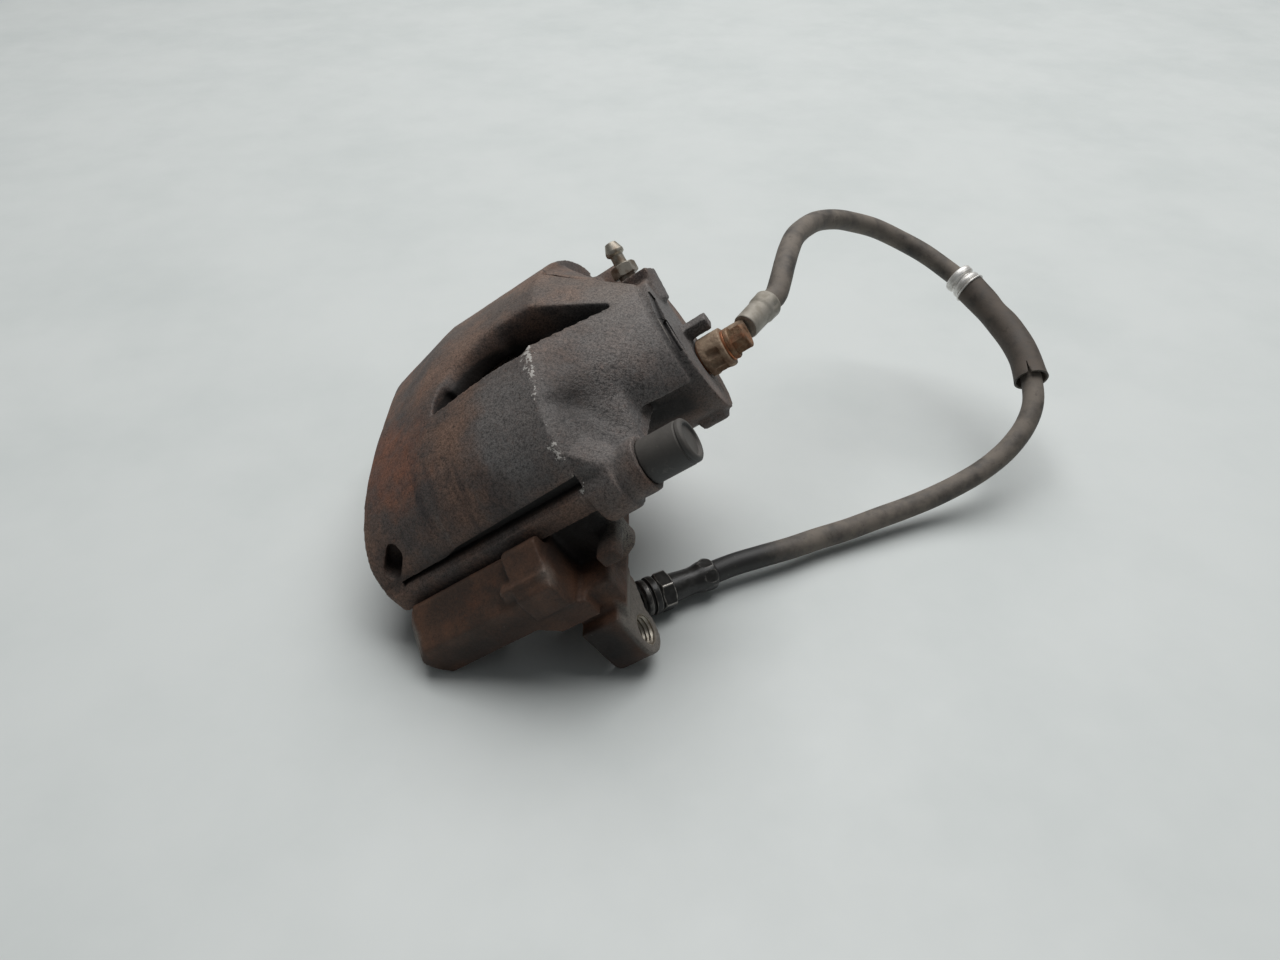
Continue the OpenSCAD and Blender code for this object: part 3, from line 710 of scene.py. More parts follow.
class Effects:
    """The effects that several finishes share, each one shader group that is built once."""

    @staticmethod
    def start(name: str, inputs: dict[str, float],
              outputs: Sequence[str]) -> tuple[Graph, dict[str, Socket], bpy.types.Node]:
        """Opens a new group.

        Args:
            name: The group's name.
            inputs: Names of its value inputs, with their usual values.
            outputs: Names of its value outputs.

        Returns:
            The graph, the input sockets by name, and the output node.
        """
        tree = bpy.data.node_groups.new(name, "ShaderNodeTree")
        for key, value in inputs.items():
            socket = tree.interface.new_socket(key, in_out="INPUT", socket_type="NodeSocketFloat")
            socket.default_value = value
        for key in outputs:
            tree.interface.new_socket(key, in_out="OUTPUT", socket_type="NodeSocketFloat")
        graph = Graph(tree)
        ends = tree.nodes.new("NodeGroupInput"), tree.nodes.new("NodeGroupOutput")
        return graph, {k: ends[0].outputs[k] for k in inputs}, ends[1]

    @staticmethod
    def close(graph: Graph, end: bpy.types.Node, **values: Socket) -> bpy.types.NodeTree:
        """Joins a group's results to its outputs.

        Args:
            graph: The group's graph.
            end: Its output node.
            **values: The results, by the outputs' names.

        Returns:
            The group.
        """
        for key, value in values.items():
            graph.tree.links.new(value, end.inputs[key])
        return graph.tree

    @staticmethod
    @functools.cache
    def grain() -> bpy.types.NodeTree:
        """Sand-cast grain: soft lumps under fine grit, with light and dark specks that follow the grit, partly
        grains and partly painted glints and shade, and scattered pits.

        Returns:
            The group.
        """
        usual = {"Lumps": 240.0, "Grit": 800.0}
        g, given, end = Effects.start("sand_cast_grain", usual, ["Height", "Speck", "Pit"])
        lumps = g.noise(given["Lumps"], 3.0)
        grit = g.noise(given["Grit"], 3.0, 0.7)
        fine = g.plus(g.times(g.noise(g.times(given["Grit"], 2.2), 1.0), 0.5),
                      g.times(grit, 0.5))
        pit = g.band(g.plus(g.times(grit, 0.7), g.times(lumps, 0.3)), 0.44, 0.36)
        height = g.plus(g.times(lumps, 0.5), g.times(grit, 0.5))
        return Effects.close(g, end, Height=height, Speck=g.band(fine, 0.38, 0.62), Pit=pit)

    @staticmethod
    @functools.cache
    def rust() -> bpy.types.NodeTree:
        """Rust blooms: a broad patch broken up into blotches and freckles.

        Returns:
            The group.
        """
        usual = {"Zone": 0.0, "Amount": 0.4, "Scale": 70.0}
        g, given, end = Effects.start("rust_bloom", usual, ["Patch", "Freckle"])
        blotch = g.noise(given["Scale"], 8.0, 0.68)
        level = g.plus(g.times(given["Zone"], 0.5), given["Amount"])
        low = g.minus(0.88, level)
        patch = g.band(blotch, low, g.plus(low, 0.42))
        fine = g.noise(g.times(given["Scale"], 9.0), 3.0, 0.6)
        freckle = g.times(g.band(fine, 0.55, 0.72), g.clamp(g.times(level, 1.4)))
        return Effects.close(g, end, Patch=patch, Freckle=freckle)

    @staticmethod
    @functools.cache
    def edge_wear() -> bpy.types.NodeTree:
        """Rubbed edges, broken up by noise.

        Returns:
            The group.
        """
        usual = {"Edge": 0.0, "Amount": 0.7, "Scale": 160.0}
        g, given, end = Effects.start("edge_wear", usual, ["Bare"])
        breakup = g.noise(given["Scale"], 5.0, 0.7)
        edge = g.times(given["Edge"], given["Amount"])
        bare = g.band(g.plus(edge, g.times(breakup, 0.6)), 0.62, 0.98)
        return Effects.close(g, end, Bare=bare)

    @staticmethod
    @functools.cache
    def dust() -> bpy.types.NodeTree:
        """Dust on what faces up, in soft patches.

        Returns:
            The group.
        """
        usual = {"Amount": 0.5, "Scale": 60.0, "From": -0.25}
        g, given, end = Effects.start("settled_dust", usual, ["Dust"])
        up = g.put("SeparateXYZ", {0: g.put("NewGeometry").outputs["Normal"]}).outputs["Z"]
        cloud = g.noise(given["Scale"], 6.0, 0.65)
        lying = g.times(g.band(up, given["From"], 1.0), g.scaled(cloud, 0.35, 1.25))
        return Effects.close(g, end, Dust=g.clamp(g.times(lying, given["Amount"])))

    @staticmethod
    @functools.cache
    def chips() -> bpy.types.NodeTree:
        """Bright chips and specks where a surface was knocked.

        Returns:
            The group.
        """
        usual = {"Zone": 0.0, "Scale": 420.0, "Base": 0.0}
        g, given, end = Effects.start("bright_chips", usual, ["Chip"])
        speck = g.noise(given["Scale"], 2.0, 0.75)
        level = g.plus(given["Base"], g.times(given["Zone"], 0.30))
        low = g.minus(0.80, level)
        return Effects.close(g, end, Chip=g.band(speck, low, g.plus(low, 0.05)))


def new_material(name: str) -> tuple[bpy.types.Material, Graph, bpy.types.Node]:
    """Starts a material.

    Args:
        name: The material's name.

    Returns:
        The material, its graph, and its one Principled shader.
    """
    material = bpy.data.materials.new(name)
    material.use_nodes = True
    graph = Graph(material.node_tree)
    return material, graph, material.node_tree.nodes["Principled BSDF"]


def bumped(graph: Graph, shader: bpy.types.Node, height: Socket, depth: float) -> None:
    """Gives a shader fine relief; depth is in metres."""
    bump = graph.put("Bump", {"Height": height, "Distance": depth, "Strength": 1.0})
    graph.tree.links.new(bump.outputs["Normal"], shader.inputs["Normal"])


def join(graph: Graph, shader: bpy.types.Node, **sockets: Socket) -> None:
    """Joins results to a shader's sockets, named with _ for spaces."""
    for key, value in sockets.items():
        graph.tree.links.new(value, shader.inputs[key.replace("_", " ")])


# Finishes


@dataclass(frozen=True)
class CastIron:
    """Rusty grey iron, as cast."""

    name: str
    dark: Colour
    brown: Colour
    rust: Colour
    grey: Colour
    bare: Colour
    rust_amount: float = 0.24
    dust: float = 0.8
    speckle: float = 0.75
    grain_depth: float = 0.8 * MM
    patch_share: float = 0.6
    freckle_share: float = 0.3
    pit_share: float = 0.55
    grime_and_shade_share: float = 0.94
    bare_share: float = 0.5
    chip_share: float = 0.8
    pale_wash: Colour = srgb(104, 96, 90)
    dark_wash: Colour = srgb(44, 38, 39)
    dusty: Colour = srgb(128, 114, 102)
    pit: Colour = srgb(24, 21, 20)
    # Near black for grime and painted shade in hollows, recesses and faces turned from the lamp.
    dark_grime_and_shade: Colour = srgb(13, 11, 10)
    chip: Colour = srgb(198, 194, 188)

    def material(self) -> bpy.types.Material:
        """Builds the finish from the casting's zones, grain, rust, wear, chips and painted shade.

        Returns:
            The material.
        """
        material, g, shader = new_material(self.name)
        grain = g.group(Effects.grain())
        rust = g.group(Effects.rust(), {"Zone": g.attribute(Zone.RUST), "Amount": self.rust_amount})
        wear = g.group(Effects.edge_wear(), {"Edge": g.attribute(Zone.WEAR)})
        chips = g.group(Effects.chips(), {"Zone": g.attribute(Zone.CHIPS), "Base": 0.03})
        lying = g.scaled(g.attribute(Zone.DUST), 0.35 * self.dust, self.dust)
        dust = g.group(Effects.dust(), {"Amount": lying, "Scale": 45.0, "From": 0.4})
        cloud = g.noise(34.0, 9.0, 0.64)
        skin = g.mix(self.dark, self.brown, g.band(cloud, 0.38, 0.64))
        grey_edge = g.plus(g.attribute(Zone.GREY), g.times(g.noise(48.0, 8.0, 0.62), 0.8))
        skin = g.mix(skin, self.grey, g.times(g.band(grey_edge, 0.60, 1.15), 0.9))
        skin = g.mix(skin, self.rust, g.times(rust.outputs["Patch"], self.patch_share))
        skin = g.mix(skin, self.rust, g.times(rust.outputs["Freckle"], self.freckle_share))
        streak = g.streaks(AXES.along, 120.0, 0.08)
        pale_wash = g.times(g.band(streak, 0.52, 0.66), g.attribute(Zone.WASH))
        dark_wash = g.times(g.band(streak, 0.47, 0.36), g.attribute(Zone.WASH))
        skin = g.mix(skin, self.pale_wash, g.times(pale_wash, 0.7))
        skin = g.mix(skin, self.dark_wash, g.times(dark_wash, 0.75))
        skin = g.mix(skin, self.dusty, g.times(dust.outputs["Dust"], 0.6))
        sand = g.scaled(g.attribute(Zone.ROUGH), self.speckle, 1.0)
        # The specks brighten and darken the colour where the grit stands up or sinks: partly pale and dark grains,
        # partly painted glints and shade.
        skin = g.mix(skin, g.scaled(grain.outputs["Speck"], 0.5, 1.55), sand, "MULTIPLY")
        skin = g.mix(skin, self.pit, g.times(grain.outputs["Pit"], g.times(sand, self.pit_share)))
        # Darkens hollows and the painted-shade patches: partly grime, partly painted shade.
        dark_grime_and_shade = g.clamp(g.plus(g.attribute(Zone.HOLLOW_GRIME_AND_SHADE), g.attribute(Zone.PAINTED_SHADE)))
        skin = g.mix(skin, self.dark_grime_and_shade, g.times(dark_grime_and_shade, self.grime_and_shade_share))
        skin = g.mix(skin, self.bare, g.times(wear.outputs["Bare"], self.bare_share))
        skin = g.mix(skin, self.chip, g.times(chips.outputs["Chip"], self.chip_share))
        rough = g.scaled(g.noise(130.0, 4.0), 0.5, 0.8)
        shine = g.minus(rough, g.times(wear.outputs["Bare"], 0.12))
        coarse = g.times(grain.outputs["Height"], g.scaled(g.attribute(Zone.ROUGH), 0.5, 1.6))
        join(g, shader, Base_Color=skin, Roughness=shine)
        shader.inputs["Specular IOR Level"].default_value = 0.45
        bumped(g, shader, coarse, self.grain_depth)
        return material


@dataclass(frozen=True)
class Steel:
    """Bare, plated or rusty steel."""

    name: str
    clean: Colour
    dull: Colour
    rust: Colour
    rust_amount: float = 0.0
    dust: float = 0.2
    metallic: float = 0.85
    roughness: float = 0.42
    relief: float = 0.10 * MM
    scab: Colour = srgb(46, 24, 14)
    dusty: Colour = srgb(150, 140, 124)

    def material(self) -> bpy.types.Material:
        """Builds the finish with tarnish, rust blooms and settled dust.

        Returns:
            The material.
        """
        material, g, shader = new_material(self.name)
        rust = g.group(Effects.rust(), {"Amount": self.rust_amount, "Scale": 190.0})
        dust = g.group(Effects.dust(), {"Amount": self.dust, "Scale": 140.0})
        cloud = g.noise(150.0, 6.0, 0.6)
        skin = g.mix(self.clean, self.dull, g.band(cloud, 0.38, 0.64))
        skin = g.mix(skin, self.rust, rust.outputs["Patch"])
        skin = g.mix(skin, self.scab, g.times(rust.outputs["Freckle"], 0.6))
        skin = g.mix(skin, self.dusty, dust.outputs["Dust"])
        covered = g.clamp(g.plus(rust.outputs["Patch"], dust.outputs["Dust"]))
        metal = g.times(g.minus(1.0, covered), self.metallic)
        rough = g.plus(g.scaled(cloud, self.roughness - 0.1, self.roughness + 0.1),
                       g.times(covered, 0.4))
        join(g, shader, Base_Color=skin, Roughness=g.clamp(rough), Metallic=metal)
        grit = g.noise(1100.0, 3.0, 0.6)
        scale = g.plus(g.times(grit, g.scaled(rust.outputs["Patch"], 0.25, 1.0)),
                       g.times(rust.outputs["Patch"], 0.5))
        bumped(g, shader, scale, self.relief)
        return material


@dataclass(frozen=True)
class Rubber:
    """Dusty moulded rubber, with a cleaner stretch at one end where it was wiped."""

    name: str
    black: Colour
    dusty: Colour
    dust: float = 0.8
    clean_end: Point | None = None
    clean_reach: float = 0.0
    rubbed: Colour = srgb(52, 46, 40)
    fleck: Colour = srgb(170, 164, 152)
    grain_depth: float = 0.07 * MM

    def material(self) -> bpy.types.Material:
        """Builds the finish with dust clouds, rubbed patches and fine grain.

        Returns:
            The material.
        """
        material, g, shader = new_material(self.name)
        cloud = g.noise(75.0, 7.0, 0.62)
        rubbed = g.noise(210.0, 5.0, 0.7)
        dust = g.group(Effects.dust(), {"Amount": 0.45, "Scale": 90.0})
        share = g.plus(g.times(g.band(cloud, 0.25, 0.62), 0.7), g.times(dust.outputs["Dust"], 0.6))
        share = g.times(g.clamp(share), self.dust)
        if self.clean_end is not None:
            reach = self.clean_reach
            ends = {0: g.places(), 1: self.clean_end}
            gap = g.put("VectorMath", ends, operation="DISTANCE").outputs["Value"]
            ragged = g.plus(gap, g.scaled(g.noise(120.0, 5.0, 0.7), -0.35 * reach, 0.35 * reach))
            share = g.times(share, g.band(ragged, 0.55 * reach, 1.25 * reach))
        flecks = g.band(g.noise(420.0, 3.0, 0.7), 0.70, 0.76)
        skin = g.mix(self.black, self.dusty, share)
        skin = g.mix(skin, self.rubbed, g.times(g.band(rubbed, 0.58, 0.70), 0.45))
        skin = g.mix(skin, self.fleck, g.times(flecks, 0.5))
        join(g, shader, Base_Color=skin, Roughness=g.scaled(share, 0.5, 0.92))
        grain = g.plus(g.noise(1500.0, 2.0), g.times(g.noise(300.0, 4.0), 1.4))
        bumped(g, shader, grain, self.grain_depth)
        return material


@dataclass(frozen=True)
class MouldedPlastic:
    """Dark moulded plastic with dust in its grain."""

    name: str
    base: Colour
    dusty: Colour
    scuffed: Colour = srgb(118, 114, 106)
    grain_depth: float = 0.10 * MM

    def material(self) -> bpy.types.Material:
        """Builds the finish with fine texture, scuffs and dust.

        Returns:
            The material.
        """
        material, g, shader = new_material(self.name)
        dust = g.group(Effects.dust(), {"Amount": 0.62, "Scale": 110.0})
        scuff = g.band(g.noise(260.0, 5.0, 0.72), 0.58, 0.70)
        skin = g.mix(self.base, self.dusty, dust.outputs["Dust"])
        skin = g.mix(skin, self.scuffed, g.times(scuff, 0.25))
        join(g, shader, Base_Color=skin, Roughness=g.scaled(dust.outputs["Dust"], 0.5, 0.85))
        bumped(g, shader, g.noise(1300.0, 3.0, 0.6), self.grain_depth)
        return material


@dataclass(frozen=True)
class BlackCoat:
    """Black coated steel, rubbed bright on its edges."""

    name: str
    coat: Colour
    bare: Colour
    faded: Colour = srgb(44, 44, 43)
    dusty: Colour = srgb(120, 114, 104)
    grain_depth: float = 0.10 * MM

    def material(self) -> bpy.types.Material:
        """Builds the finish with a glossy coat, rubbed edges and a little dust.

        Returns:
            The material.
        """
        material, g, shader = new_material(self.name)
        wear = g.group(Effects.edge_wear(), {"Edge": g.attribute(Zone.WEAR), "Amount": 0.75, "Scale": 420.0})
        dust = g.group(Effects.dust(), {"Amount": 0.08, "Scale": 200.0})
        cloud = g.noise(230.0, 5.0, 0.6)
        skin = g.mix(self.coat, self.faded, g.band(cloud, 0.42, 0.66))
        skin = g.mix(skin, self.dusty, dust.outputs["Dust"])
        skin = g.mix(skin, self.bare, g.times(wear.outputs["Bare"], 0.8))
        join(g, shader, Base_Color=skin, Roughness=g.scaled(cloud, 0.22, 0.5),
             Metallic=g.times(wear.outputs["Bare"], 0.9))
        bumped(g, shader, g.noise(700.0, 4.0, 0.6), self.grain_depth)
        return material


@dataclass(frozen=True)
class FrictionLining:
    """Pressed friction material, with metal and mineral grains."""

    name: str
    base: Colour
    grain: Colour
    brake_dust: Colour = srgb(92, 72, 58)
    grain_depth: float = 0.18 * MM

    def material(self) -> bpy.types.Material:
        """Builds the finish with coarse grains and brake dust.

        Returns:
            The material.
        """
        material, g, shader = new_material(self.name)
        grains = g.band(g.cells(420.0), 0.42, 0.20)
        dust = g.group(Effects.dust(), {"Amount": 0.35, "Scale": 90.0})
        skin = g.mix(self.base, self.grain, g.times(grains, 0.5))
        skin = g.mix(skin, self.brake_dust, dust.outputs["Dust"])
        join(g, shader, Base_Color=skin, Roughness=g.scaled(g.noise(160.0), 0.7, 0.95))
        bumped(g, shader, g.plus(g.noise(800.0, 4.0, 0.65), grains), self.grain_depth)
        return material


@dataclass(frozen=True)
class StudioFloor:
    """The pale bench top."""

    pale: Colour
    shade: Colour

    def material(self) -> bpy.types.Material:
        """Builds a nearly even, slightly cloudy surface.

        Returns:
            The material.
        """
        material, g, shader = new_material("pale_bench_top")
        cloud = g.noise(7.0, 6.0, 0.6)
        skin = g.mix(self.pale, self.shade, g.band(cloud, 0.35, 0.75))
        join(g, shader, Base_Color=skin, Roughness=g.scaled(g.noise(40.0, 5.0), 0.42, 0.6))
        return material


HOUSING_IRON = CastIron(
    "housing_iron", srgb(75, 67, 64), srgb(112, 87, 73), srgb(138, 80, 50), srgb(101, 99, 98),
    srgb(170, 163, 154))
CARRIER_IRON = CastIron(
    "carrier_iron", srgb(68, 51, 41), srgb(102, 71, 53), srgb(122, 72, 44), srgb(122, 117, 110),
    srgb(146, 136, 124), rust_amount=0.26, dust=0.3, speckle=0.35)
BOLT_STEEL = Steel(
    "bolt_rusty_steel", srgb(132, 106, 80), srgb(98, 72, 50), srgb(138, 78, 38),
    rust_amount=0.52, dust=0.08, metallic=0.5, roughness=0.55, relief=0.5 * MM)
BANJO_STEEL = Steel(
    "banjo_rusty_steel", srgb(166, 142, 118), srgb(126, 100, 78), srgb(122, 76, 46),
    rust_amount=0.42, dust=0.3, metallic=0.35, roughness=0.6, relief=0.45 * MM)
ZINC_STEEL = Steel(
    "dusty_zinc", srgb(176, 172, 164), srgb(140, 136, 127), srgb(112, 88, 66),
    rust_amount=0.10, dust=0.55, metallic=0.55, roughness=0.5)
RING_STEEL = Steel(
    "bright_zinc", srgb(236, 234, 230), srgb(206, 203, 198), srgb(128, 112, 96),
    rust_amount=0.04, dust=0.08, metallic=0.4, roughness=0.36)
NIPPLE_STEEL = Steel(
    "bleed_screw_steel", srgb(176, 170, 158), srgb(124, 108, 92), srgb(104, 74, 52),
    rust_amount=0.32, dust=0.2, metallic=0.75, roughness=0.4)
PIN_STEEL = Steel(
    "guide_pin_steel", srgb(168, 164, 156), srgb(122, 116, 107), srgb(102, 70, 48), rust_amount=0.2)
PISTON_STEEL = Steel(
    "piston_steel", srgb(190, 186, 178), srgb(158, 152, 142), srgb(112, 78, 52),
    rust_amount=0.08, dust=0.1, roughness=0.3)
PLATE_STEEL = Steel(
    "pad_plate_steel", srgb(70, 66, 62), srgb(56, 50, 46), srgb(104, 62, 38),
    rust_amount=0.34, dust=0.25, metallic=0.3, roughness=0.6, relief=0.3 * MM)
COPPER = Steel(
    "washer_copper", srgb(170, 108, 72), srgb(122, 80, 54), srgb(92, 74, 54), rust_amount=0.2, dust=0.2)
HOSE_RUBBER_BLACK, HOSE_RUBBER_DUST = srgb(40, 39, 38), srgb(142, 132, 121)
SLEEVE_RUBBER = Rubber("sleeve_rubber", srgb(46, 43, 40), srgb(112, 101, 91), dust=0.75)
BOOT_RUBBER = Rubber("boot_rubber", srgb(26, 26, 26), srgb(86, 78, 70), dust=0.5)
CAP_PLASTIC = MouldedPlastic("cap_plastic", srgb(48, 47, 46), srgb(104, 99, 93))
END_COAT = BlackCoat("end_fitting_coat", srgb(20, 20, 20), srgb(168, 164, 158))
LINING = FrictionLining("pad_friction_lining", srgb(58, 54, 50), srgb(112, 102, 90))
FLOOR = StudioFloor(srgb(214, 218, 216), srgb(206, 211, 209))


def dress(obj: bpy.types.Object, finish: bpy.types.Material) -> bpy.types.Object:
    """Gives a piece its finish.

    Args:
        obj: The piece.
        finish: Its material.

    Returns:
        The same piece.
    """
    obj.data.materials.clear()
    obj.data.materials.append(finish)
    return obj


def fit(obj: bpy.types.Object, body: Body, node: str) -> bpy.types.Object:
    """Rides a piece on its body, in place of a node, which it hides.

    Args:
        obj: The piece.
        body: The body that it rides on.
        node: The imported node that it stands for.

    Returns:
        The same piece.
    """
    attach(obj, body.value)
    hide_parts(node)
    log.info("%s stands for %s on %s", obj.name, node, body.value)
    return obj


# Castings


@dataclass(frozen=True)
class Patch:
    """A soft-edged area of a casting, about a point in the caliper's axes, in millimetres."""

    zone: Zone
    at: Point
    reach: Point
    weight: float = 1.0


@dataclass
class Casting:
    """An iron casting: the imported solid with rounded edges, cast skin, machined bores and painted zones."""

    name: str
    node: str
    body: Body
    finish: CastIron
    patches: Sequence[Patch]
    voxel: float = 0.8
    edge_rounds: int = 4
    soft_rounds: int = 70
    ripple: float = 0.16
    ripple_waves: tuple[float, float] = (90.0, 260.0)
    draw_in: float = 0.2
    relief_rounds: int = 14
    relief_reach: float = 0.9
    most_triangles: int = 190_000

    def build(self) -> bpy.types.Object:
        """Makes the casting's mesh.

        Returns:
            The casting, in place of its node.
        """
        packed = bpy.data.objects.new(self.name, frame["nodes"][self.node].data.copy())
        solid = joined(self.name, [packed, *self.fillers()])
        voxel_skin(solid, self.voxel)
        self.round_off(solid.data)
        cut(solid, *self.cutters())
        self.paint_zones(solid.data)
        self.thin_out(solid)
        set_shading(solid)
        return fit(solid, self.body, self.node)

    def fillers(self) -> list[bpy.types.Object]:
        """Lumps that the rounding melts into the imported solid."""
        return []

    def cutters(self) -> list[bpy.types.Object]:
        """The machined bores and crisp grooves, cut after the edges are rounded."""
        return []

    def round_off(self, mesh: bpy.types.Mesh) -> None:
        """Rounds the edges, then ripples the skin and draws it in, clear of what slides past it.

        Args:
            mesh: The casting's mesh.
        """
        surface = Surface(mesh)
        surface.smooth(self.edge_rounds)
        soft = self.zones(AXES.local(surface.places))[Zone.SOFT]
        surface.smooth(self.soft_rounds, np.clip(soft, 0, 1))
        surface.write()
        surface.ripple(self.ripple, self.ripple_waves, self.draw_in)

    def thin_out(self, obj: bpy.types.Object) -> None:
        """Merges triangles of the flatter stretches, down to the most that the casting may have.

        Args:
            obj: The casting.
        """
        count = sum(len(p.vertices) - 2 for p in obj.data.polygons)
        log.info("%s has %d triangles before thinning", self.name, count)
        if count <= self.most_triangles:
            return
        step = obj.modifiers.new("thin_out", "DECIMATE")
        step.ratio = self.most_triangles / count
        settle(obj)

    def zones(self, places: np.ndarray) -> dict[Zone, np.ndarray]:
        """Adds up the patches of each zone.

        Args:
            places: Points in the caliper's axes.

        Returns:
            Each zone's values at the points.
        """
        totals = {z: np.zeros(len(places)) for z in Zone}
        for patch in self.patches:
            gap = (places - np.array(patch.at)) / np.array(patch.reach)
            totals[patch.zone] += patch.weight * np.exp(-np.einsum("ij,ij->i", gap, gap))
        return totals

    def paint_zones(self, mesh: bpy.types.Mesh) -> None:
        """Keeps the zones, worn edges and darkened hollows on the mesh; the hollows' darkening is partly grime and
        partly painted shade.

        Args:
            mesh: The casting's mesh.
        """
        surface = Surface(mesh)
        totals = self.zones(AXES.local(surface.places))
        relief = surface.relief(self.relief_rounds) / self.relief_reach
        totals[Zone.WEAR] += relief
        # Hollows get darker colour: partly grime, partly painted shade.
        totals[Zone.HOLLOW_GRIME_AND_SHADE] -= relief
        for zone, values in totals.items():
            surface.store(zone.value, values)

    def dress(self, obj: bpy.types.Object) -> None:
        """Gives the casting its iron finish."""
        dress(obj, self.finish.material())


class HousingCasting(Casting):
    """The sliding housing: bridge, fingers, cylinder and ears."""

    def __init__(self) -> None:
        """Sets the housing's zones."""
        patches = [
            Patch(Zone.DUST, (30, 18, 60), (60, 26, 24)),
            Patch(Zone.DUST, (90, 0, 44), (16, 24, 16)),
            Patch(Zone.RUST, (-22, -50, 48), (26, 32, 22), 0.85),
            Patch(Zone.RUST, (-42, -20, 44), (18, 40, 22), 0.5),
            Patch(Zone.RUST, (-20, 30, 55), (34, 40, 20), 0.5),
            Patch(Zone.GREY, (44, -66, 44), (22, 30, 24), 1.05),
            Patch(Zone.GREY, (84, -20, 25), (24, 46, 40), 0.8),
            Patch(Zone.GREY, (110, 0, 10), (12, 40, 40), 0.7),
            Patch(Zone.GREY, (70, -80, 10), (20, 26, 24), 0.6),
            Patch(Zone.ROUGH, (76, -46, 26), (18, 26, 26)),
            Patch(Zone.WASH, (2, -78, 34), (36, 22, 24)),
            Patch(Zone.CHIPS, (58, -38, 57), (4, 8, 5)),
            Patch(Zone.CHIPS, (58, -56, 50), (3, 14, 12), 0.85),
            Patch(Zone.CHIPS, (58, -82, 30), (3, 10, 12), 0.85),
            Patch(Zone.CHIPS, (58, -90, 16), (4, 4, 3), 0.9),
            # The ten patches below paint shade into the colour, in the window, the pocket under the neck, the
            # ledge's groove and front, the spring hole and the face right of the crease.
            Patch(Zone.PAINTED_SHADE, (4, -93, 5), (70, 4, 6), 0.6),
            Patch(Zone.PAINTED_SHADE, (68, -60, 38), (10, 22, 20), 0.62),
            Patch(Zone.PAINTED_SHADE, (10, -86, 17), (60, 5, 3.2), 1.1),
            Patch(Zone.PAINTED_SHADE, (24, -24, 39), (36, 20, 10), 3.0),
            Patch(Zone.PAINTED_SHADE, (20, -19, 45), (20, 12, 8), 2.5),
            Patch(Zone.PAINTED_SHADE, (86, -36, -5), (12, 6, 9), 1.2),
            Patch(Zone.PAINTED_SHADE, (97, -35, -10), (8, 5, 10), 0.7),
            Patch(Zone.PAINTED_SHADE, (76, -14, 44), (12, 5, 5), 0.8),
            Patch(Zone.PAINTED_SHADE, (-38, -80, 25), (6, 8, 7), 0.7),
            Patch(Zone.PAINTED_SHADE, (10, -36, 48), (9, 8, 6), 3.0),
            Patch(Zone.SOFT, (15, -20, 58), (9, 8, 6)),
            Patch(Zone.SOFT, (68, -55, 40), (9, 12, 12)),
            Patch(Zone.SOFT, (30, -10, 57), (14, 9, 9)),
            Patch(Zone.SOFT, (50, -8, 57), (14, 9, 9)),
            Patch(Zone.SOFT, (78, -46, 30), (10, 14, 16)),
            Patch(Zone.SOFT, (74, 40, 40), (14, 20, 14)),
        ]
        super().__init__("housing_casting", "caliper_housing", Body.HOUSING, HOUSING_IRON, patches)

    def fillers(self) -> list[bpy.types.Object]:
        """Forms that melt into the housing's skin.

        Returns:
            The skin from the neck to the near ear, the window's near lip, the slope behind the neck, and the
            rolled far wall of the window.
        """
        skin = lump((60, -40, 55), (60, -52, 52), (69, -58, 40), (85, -29, 42), (84, -38, 38),
                    (83.5, -38, 4), (83.5, -68, 11), (78, -68, 8), (60, -60, 30))
        lip = lump((2, -48, 54.4), (56, -48, 54.8), (3, -42, 56.2), (21, -39.7, 56.8), (36, -38, 57),
                   (56, -38.6, 57), (3, -44, 46), (56, -40, 46), (2, -48, 46), (56, -48, 46), (30, -39.5, 47))
        slope = lump((58, 36, 54), (58, 63, 42), (58, 63, 28), (58, 36, 30), (84, 14, 43.5), (84, 24, 36.5),
                     (84, 28, 22))
        corners = [self.window_wall(math.radians(angle)) for angle in range(30, 91, 15)]
        walls = [lump(*low, *high) for low, high in zip(corners, corners[1:])]
        return [skin, lip, slope, *walls]

    @staticmethod
    def window_wall(turn: float) -> list[Point]:
        """A section of the window's far wall, which runs round a quarter of an oval.

        Args:
            turn: The angle round the oval, from the window's left tip.

        Returns:
            The section's corners in the caliper's axes, in millimetres.
        """
        tip_x, near_y, half_long, wide = 4, -45, 34, 37
        top, foot_top, low, roll = 58, 54, 46, 3
        x, y = tip_x + half_long * (1 - math.cos(turn)), near_y + wide * math.sin(turn)
        foot = x + roll * math.cos(turn), y - roll * math.sin(turn)
        return [(x, y, top), (x, y, low), (*foot, foot_top), (*foot, low)]

    def cutters(self) -> list[bpy.types.Object]:
        """What is cut crisply into the housing.

        Returns:
            The guide pins' bores, the groove above each side ledge, and the notch round the neck's end.
        """
        ear_face, ear_length = 58, 30
        bores = [bore_tool(ear_face, side * PIN_Y, PIN_Z, BUSH_R, ear_length) for side in BOTH_SIDES]
        outline = [(-38.4, 14.7), (-38.4, 16.7), (-12, 17.3), (-5, 19.2), (59.5, 21.4), (59.5, 14.7)]
        grooves = []
        for ends in ((-94.0, -84.2), (84.2, 94.0)):
            grooves.append(prism(*([AXES.point(x, y, z) for x, z in outline] for y in ends)))
        stops = []
        for x, turn in ((106, -0.12), (107, -0.62), (108.4, -1.12)):
            stops.append([(x + wide, far * math.sin(turn), far * math.cos(turn))
                          for wide in (-1.4, 1.0) for far in (30, 40)])
        return bores + grooves + [lump(*low, *high) for low, high in zip(stops, stops[1:])]


